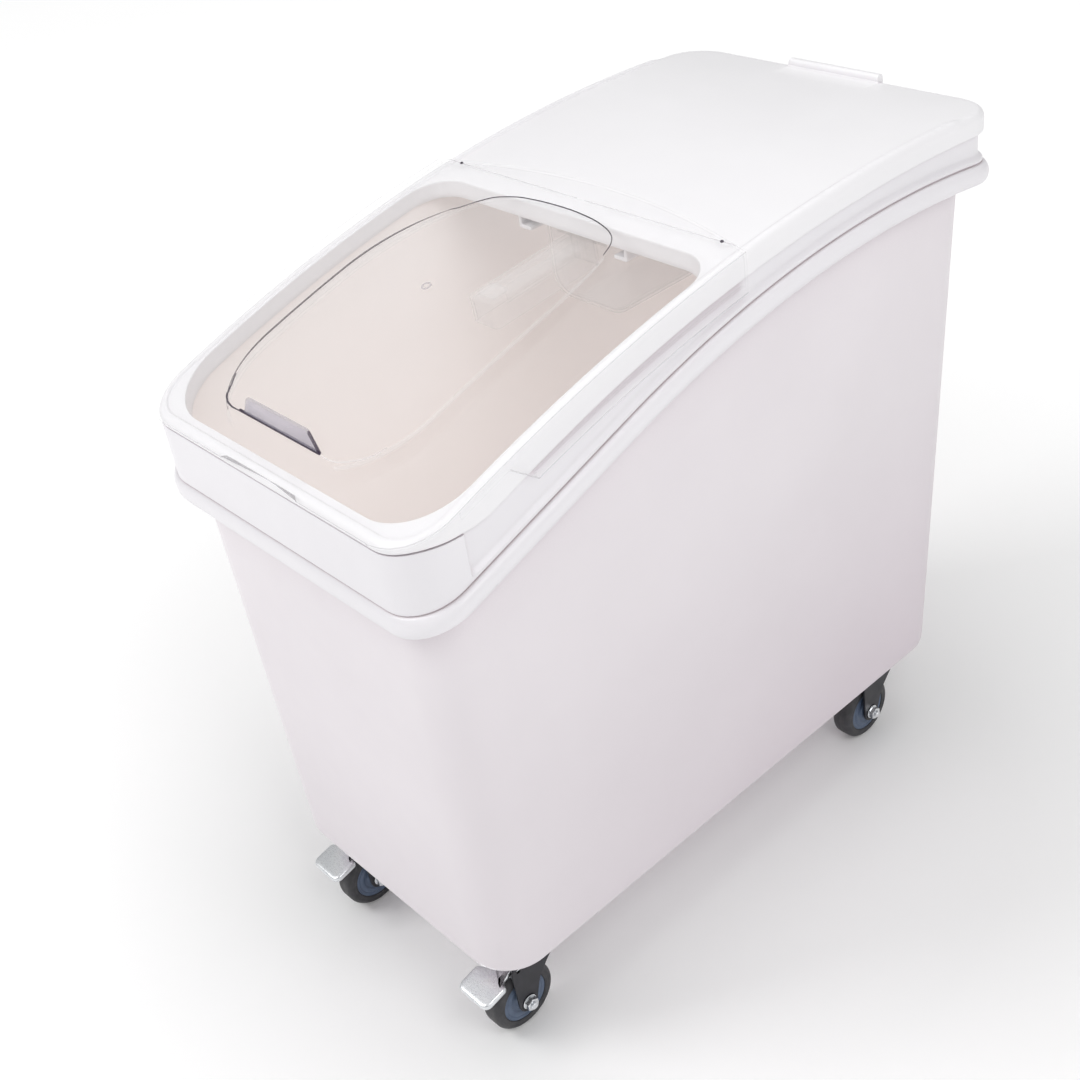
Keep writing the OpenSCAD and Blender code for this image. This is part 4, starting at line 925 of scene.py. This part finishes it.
def fork_shape(at):
    """Pressed steel fork: one bent strip whose front and rear edges follow the leg's outline, under a round crown."""
    z_front = [26.0, 38.0, 46.0, 52.0, 80.0, 84.0, 87.0, 93.0, 96.0, 98.5, 102.0]
    y_front = [-30.0, -42.0, -42.3, -42.5, -43.6, -44.0, -44.0, -43.0, -40.0, -34.0, -24.0]
    z_rear = [26.0, 38.0, 46.0, 54.0, 62.0, 76.0, 88.0, 102.0]
    y_rear = [-30.0, -18.0, -15.6, -13.2, -10.0, 2.0, 13.5, 16.0]

    def reach(z):
        if z < AXLE_Z:
            half = math.sqrt(max(0.0, EYE_R ** 2 - (z - AXLE_Z) ** 2))
            return -TRAIL - half, -TRAIL + half
        return float(np.interp(z, z_front, y_front)), float(np.interp(z, z_rear, y_rear))
    bend, mid_z = FORK_BEND, FORK_TOP - LEG_T / 2
    path = [(LEG_X, AXLE_Z - EYE_R * math.cos(a)) for a in angles(0, 90, 10)]
    path += [(LEG_X, z) for z in np.linspace(AXLE_Z, mid_z - bend, 18)[1:]]
    path += [(LEG_X - bend + bend * math.cos(a), mid_z - bend + bend * math.sin(a))
             for a in angles(0, 90, 8)[1:]]
    path += [(x, mid_z) for x in (7.0, 3.5, 0.0)]
    path = np.array(path)
    full = np.concatenate([path, path[:-1][::-1] * (-1, 1)])
    tangent = np.gradient(full, axis=0)
    tangent /= np.linalg.norm(tangent, axis=1)[:, None]
    normal = np.stack([tangent[:, 1], -tangent[:, 0]], 1)
    rows = []
    shares = np.linspace(0, 1, 9)
    half, soft = LEG_T / 2, FORK_EDGE
    for (x, z), nrm in zip(full, normal):
        y0, y1 = reach(z)
        wide = max(0.0, y1 - y0)
        edge = min(soft, wide / 4)
        ys = y0 + edge + (wide - 2 * edge) * shares
        out = [(x + nrm[0] * half, y, z + nrm[1] * half) for y in ys]
        inn = [(x - nrm[0] * half, y, z - nrm[1] * half) for y in ys]
        rim1 = [(x + nrm[0] * k, y1, z + nrm[1] * k) for k in (half - soft, -half + soft)]
        rim0 = [(x + nrm[0] * k, y0, z + nrm[1] * k) for k in (-half + soft, half - soft)]
        rows.append(np.array(out + rim1 + inn[::-1] + rim0))
    shape = Shape().add(*loft(moved(rows, at)))
    crown = [(5.1, 102.0), (19.5, 102.0), (21.6, 101.6), (22.7, 100.6), (23.0, 99.2), (22.7, 98.2), (21.8, 98.0),
             (12.0, 98.0), (5.1, 98.0)]
    shape.add(*lathe(crown, (at[0], at[1], 0), "z"))
    boss = [(4.1, 0.0), (8.6, 0.0), (9.0, 0.25), (9.2, 0.6), (9.2, -0.2), (4.1, -0.2)]
    for side in (-1, 1):
        shape.add(*lathe([(r, side * (LEG_OUT + h)) for r, h in boss], wheel_centre(at)))
    return shape


def hex_rows(af, low, high, bore=None, steps=60):
    """Hexagon head along X with turned chamfers: rows of (x, y, z) about the origin."""
    a = np.arange(steps) * 2 * math.pi / steps
    flat = (af / 2) / np.cos((a + math.pi / 6) % (math.pi / 3) - math.pi / 6)
    circle = np.minimum(flat, af / 2 * HEX_CHAMFER)
    drop = (flat - circle) * 0.55

    def row(r, x):
        return np.column_stack([np.broadcast_to(x, steps), r * np.cos(a), r * np.sin(a)])
    rows = [row(circle, low), row(flat, low + drop), row(flat, high - drop), row(circle, high)]
    if bore:
        r = bore / 2
        rows = [row(r + 0.3, low)] + rows + [row(r + 0.4, high), row(r, high - 0.5), row(r, low + 0.5)]
    return rows


def axle_shape(at):
    centre = wheel_centre(at)
    shaft = [(0.02, -LEG_OUT - 4.9), (4.0, -LEG_OUT - 4.9), (4.0, LEG_OUT + 7.6), (3.2, LEG_OUT + 9.0),
             (0.02, LEG_OUT + 9.0)]
    shape = Shape().add(*lathe(shaft, centre, steps=40))
    thread = []
    for k in range(5):
        x = LEG_OUT + 6.3 + 0.5 * k
        thread += [(4.0, x), (4.22, x + 0.12), (4.22, x + 0.26), (4.0, x + 0.38)]
    shape.add(*lathe([(3.4, LEG_OUT + 6.0)] + thread + [(3.4, LEG_OUT + 8.9)], centre, steps=40))
    return shape.add(*loft(moved(hex_rows(AXLE_HEX, -LEG_OUT, -LEG_OUT - 5.0), centre, AXLE_Z)))


def nut_shape(at):
    centre = wheel_centre(at)
    nut = hex_rows(AXLE_HEX, LEG_OUT + 1.0, LEG_OUT + 6.5, bore=AXLE_BORE)
    flange = [(4.0, LEG_OUT), (8.0, LEG_OUT), (8.4, LEG_OUT + 0.3), (8.4, LEG_OUT + 0.7), (8.0, LEG_OUT + 1.05),
              (4.0, LEG_OUT + 1.05)]
    return Shape().add(*loft(moved(nut, centre, AXLE_Z), ring=True)).add(*lathe(flange, centre, steps=40))


def tyre_shape(at):
    right = [(27.0, 10.9), (27.5, 11.6), (28.6, 11.9), (30.6, 12.0), (31.0, 11.8), (31.4, 11.8), (31.8, 12.0)]
    right += [(32.0 + 6.0 * math.cos(a), 6.0 + 6.0 * math.sin(a)) for a in angles(90, 0, 12)]
    right += [(38.0, 3.0), (38.0, 0.35), (37.9, 0.0)]
    profile = right + [(r, -h) for r, h in right[::-1][1:]]
    return Shape().add(*lathe(profile, wheel_centre(at), steps=96))


def hub_shape(at):
    face = [(6.02, 12.5), (9.8, 12.5), (10.8, 12.3), (11.6, 11.4), (12.2, 10.4), (13.0, 10.05), (15.6, 10.0),
            (16.3, 10.05), (16.8, 10.3), (17.6, 10.9), (18.4, 11.0), (21.6, 11.0), (22.0, 10.75), (22.5, 10.5),
            (23.0, 10.75), (23.4, 11.0), (26.2, 11.0), (26.8, 10.8), (27.0, 10.4)]
    profile = face + [(r, -h) for r, h in face[::-1]]
    return Shape().add(*lathe(profile, wheel_centre(at), steps=80))


def pedal_shape(at):
    """Foot pedal: pressed plate with turned-down edges, a rolled knuckle and a brake shoe."""
    pin = (at[0], at[1] + PIN_Y, PIN_Z)
    outline = rounded([(-13, -1.5), (-13, -17), (-22, -21), (-22, -50), (22, -50), (22, -21), (13, -17), (13, -1.5)],
                      [0.8, 4, 5, 8, 8, 5, 4, 0.8])
    rows = [lift(inset(outline, d), z) for d, z in
            [(5.0, 2.2), (2.6, 2.1), (1.2, 1.8), (0.4, 1.1), (0.0, 0.0), (0.0, -3.4), (0.3, -3.8), (0.9, -4.0),
             (1.5, -3.8), (1.8, -3.4), (1.8, -0.6), (2.4, 0.0), (4.0, 0.2)]]
    verts, faces = loft(rows)
    shape = Shape().add(tilted(verts, PEDAL_TILT, pin), faces)
    knuckle = [(2.55, -14.6), (4.6, -14.6), (5.0, -14.2), (5.0, 14.2), (4.6, 14.6), (2.55, 14.6)]
    shape.add(*lathe(knuckle, pin, steps=40))
    shoe = rounded(box(-10, -6.5, 10, 6.5), 1.5, 4)
    return shape.add(*loft(moved(slab(shoe, 78.2, 87.5), pin)))


def plate_shape(at):
    outline = rounded(box(-29, -32, 29, 32), 6.0)
    return Shape().add(*loft(moved(slab(outline, PLATE_Z, FLOOR_Z, 0.7), at)))


def bolts_shape():
    shape = Shape()
    for x, y in BOLT_SPOTS:
        rows = hex_rows(BOLT_HEX, -WASHER_Z, -BOLT_LOW, steps=36)
        shape.add(*loft([np.column_stack([x + r[:, 1], y + r[:, 2], -r[:, 0]]) for r in rows]))
    return shape


def washers_shape():
    shape = Shape()
    ring = [(3.0, WASHER_Z), (5.6, WASHER_Z), (6.0, WASHER_Z + 0.25), (6.0, PLATE_Z - 0.2), (5.8, PLATE_Z),
            (3.0, PLATE_Z)]
    for x, y in BOLT_SPOTS:
        shape.add(*lathe(ring, (x, y, 0), "z", 28))
    return shape


for tag, at in SPOTS.items():
    piece(f"pressed_fork_{tag}", fork_shape(at), f"swivel_{tag}", [BLACK], [f"fork_{tag}"])
    piece(f"axle_bolt_{tag}", axle_shape(at), f"swivel_{tag}", [ZINC], [f"axle_{tag}"])
    piece(f"flange_nut_{tag}", nut_shape(at), f"swivel_{tag}", [ZINC], [f"axle_nut_{tag}"])
    piece(f"tread_{tag}", tyre_shape(at), f"wheel_{tag}", [RUBBER], [f"tyre_{tag}"])
    piece(f"wheel_hub_{tag}", hub_shape(at), f"wheel_{tag}", [HUB_GREY], [f"hub_{tag}"])
    piece(f"top_plate_{tag}", plate_shape(at), "tub", [BLACK], [f"caster_plate_{tag}"])
    if tag[0] == "f":
        piece(f"foot_pedal_{tag}", pedal_shape(at), f"brake_{tag}", [ZINC], [f"brake_pedal_{tag}"])
piece("plate_bolts", bolts_shape(), "tub", [ZINC], ["caster_bolts"])
piece("plate_washers", washers_shape(), "tub", [ZINC], ["caster_washers"])

# CAD nodes that stay, with their finishes
KEPT = {"brake_pin": ZINC, "swivel_race": BLACK, "swivel_balls": STEEL, "kingpin": STEEL, "bush": STEEL,
        "threaded_inserts": BRASS}
for name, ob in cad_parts.items():
    for stem, mat in KEPT.items():
        if name.startswith(stem):
            ob.data.materials.clear()
            ob.data.materials.append(mat)

# Floor, light and camera
FLOOR_HALF = 8
FLOOR_GLOW_RANGE = (0.42, 1.6, 0.06, 0.5)
SKY_STRENGTH = 0.48
CLEAR_LAYERS = 32
CAM_AZ, CAM_EL, CAM_ROLL = math.radians(52.57), math.radians(35.03), math.radians(-9.02)
CAM_AT = (972.97, -844.92, 1285.04)
CAM_LENS, CAM_SENSOR = 50.285, 36.0


def standing(right, up, back, at):
    """Matrix of a light or camera that looks along minus back."""
    return Matrix([[right[i], up[i], back[i], at[i]] for i in range(3)] + [[0, 0, 0, 1]])


floor_mat, floor_nt, floor_b = shader("pale_floor")
# Painted light: the floor glows and grows brighter away from the bin
far = add_node(floor_nt, "VectorMath", {0: own_place(floor_nt)}, operation="LENGTH").outputs["Value"]
feed(floor_nt, floor_b, {
    "Base Color": ramp(floor_nt, noise(floor_nt, 1.5, 2.0), [(0.3, (0.93, 0.93, 0.93)), (0.7, (0.95, 0.95, 0.95))]),
    "Roughness": 0.7, "Emission Color": (1, 1, 1, 1), "Emission Strength": map_range(floor_nt, far, *FLOOR_GLOW_RANGE)})
floor_me = bpy.data.meshes.new("floor")
floor_me.from_pydata([(x, y, 0) for x, y in box(-FLOOR_HALF, -FLOOR_HALF, FLOOR_HALF, FLOOR_HALF)], [], [[0, 1, 2, 3]])
floor_me.materials.append(floor_mat)
floor = bpy.data.objects.new("floor", floor_me)
SCENE.collection.objects.link(floor)

world = bpy.data.worlds.new("studio")
SCENE.world = world
world.use_nodes = True
feed(world.node_tree, world.node_tree.nodes["Background"], {"Color": (1.0, 1.0, 1.0, 1), "Strength": SKY_STRENGTH})
SCENE.view_settings.view_transform = "Standard"
# A ray passes many clear faces before it leaves the scoop
SCENE.cycles.transparent_max_bounces = CLEAR_LAYERS


def softbox(name, place, aim, size, power):
    data = bpy.data.lights.new(name, "AREA")
    data.shape = "RECTANGLE"
    data.size, data.size_y = size
    data.energy = power
    ob = bpy.data.objects.new(name, data)
    SCENE.collection.objects.link(ob)
    at = np.array(place, float)
    back = at - np.array(aim, float)
    back /= np.linalg.norm(back)
    right = np.cross((0, 0, 1), back)
    right /= np.linalg.norm(right)
    ob.matrix_world = standing(right, np.cross(back, right), back, at)


softbox("key", (-1.2, -1.9, 2.6), (0, -0.1, 0.5), (1.2, 1.2), 31)
softbox("top", (0.3, 0.2, 2.6), (0, 0.0, 0.5), (1.0, 1.0), 8.5)
softbox("side", (1.25, -0.35, 1.75), (0.1, 0.0, 0.55), (0.8, 0.8), 7.8)

back = np.array([math.sin(CAM_AZ) * math.cos(CAM_EL), -math.cos(CAM_AZ) * math.cos(CAM_EL), math.sin(CAM_EL)])
right = np.array([math.cos(CAM_AZ), math.sin(CAM_AZ), 0.0])
up = np.cross(back, right)
rolled_right = math.cos(CAM_ROLL) * right + math.sin(CAM_ROLL) * up
rolled_up = -math.sin(CAM_ROLL) * right + math.cos(CAM_ROLL) * up
cam_data = bpy.data.cameras.new("photo_camera")
cam_data.sensor_width = CAM_SENSOR
cam_data.lens = CAM_LENS
cam = bpy.data.objects.new("photo_camera", cam_data)
SCENE.collection.objects.link(cam)
cam.matrix_world = standing(rolled_right, rolled_up, back, np.array(CAM_AT) * MM)
SCENE.camera = cam

bpy.context.view_layer.update()
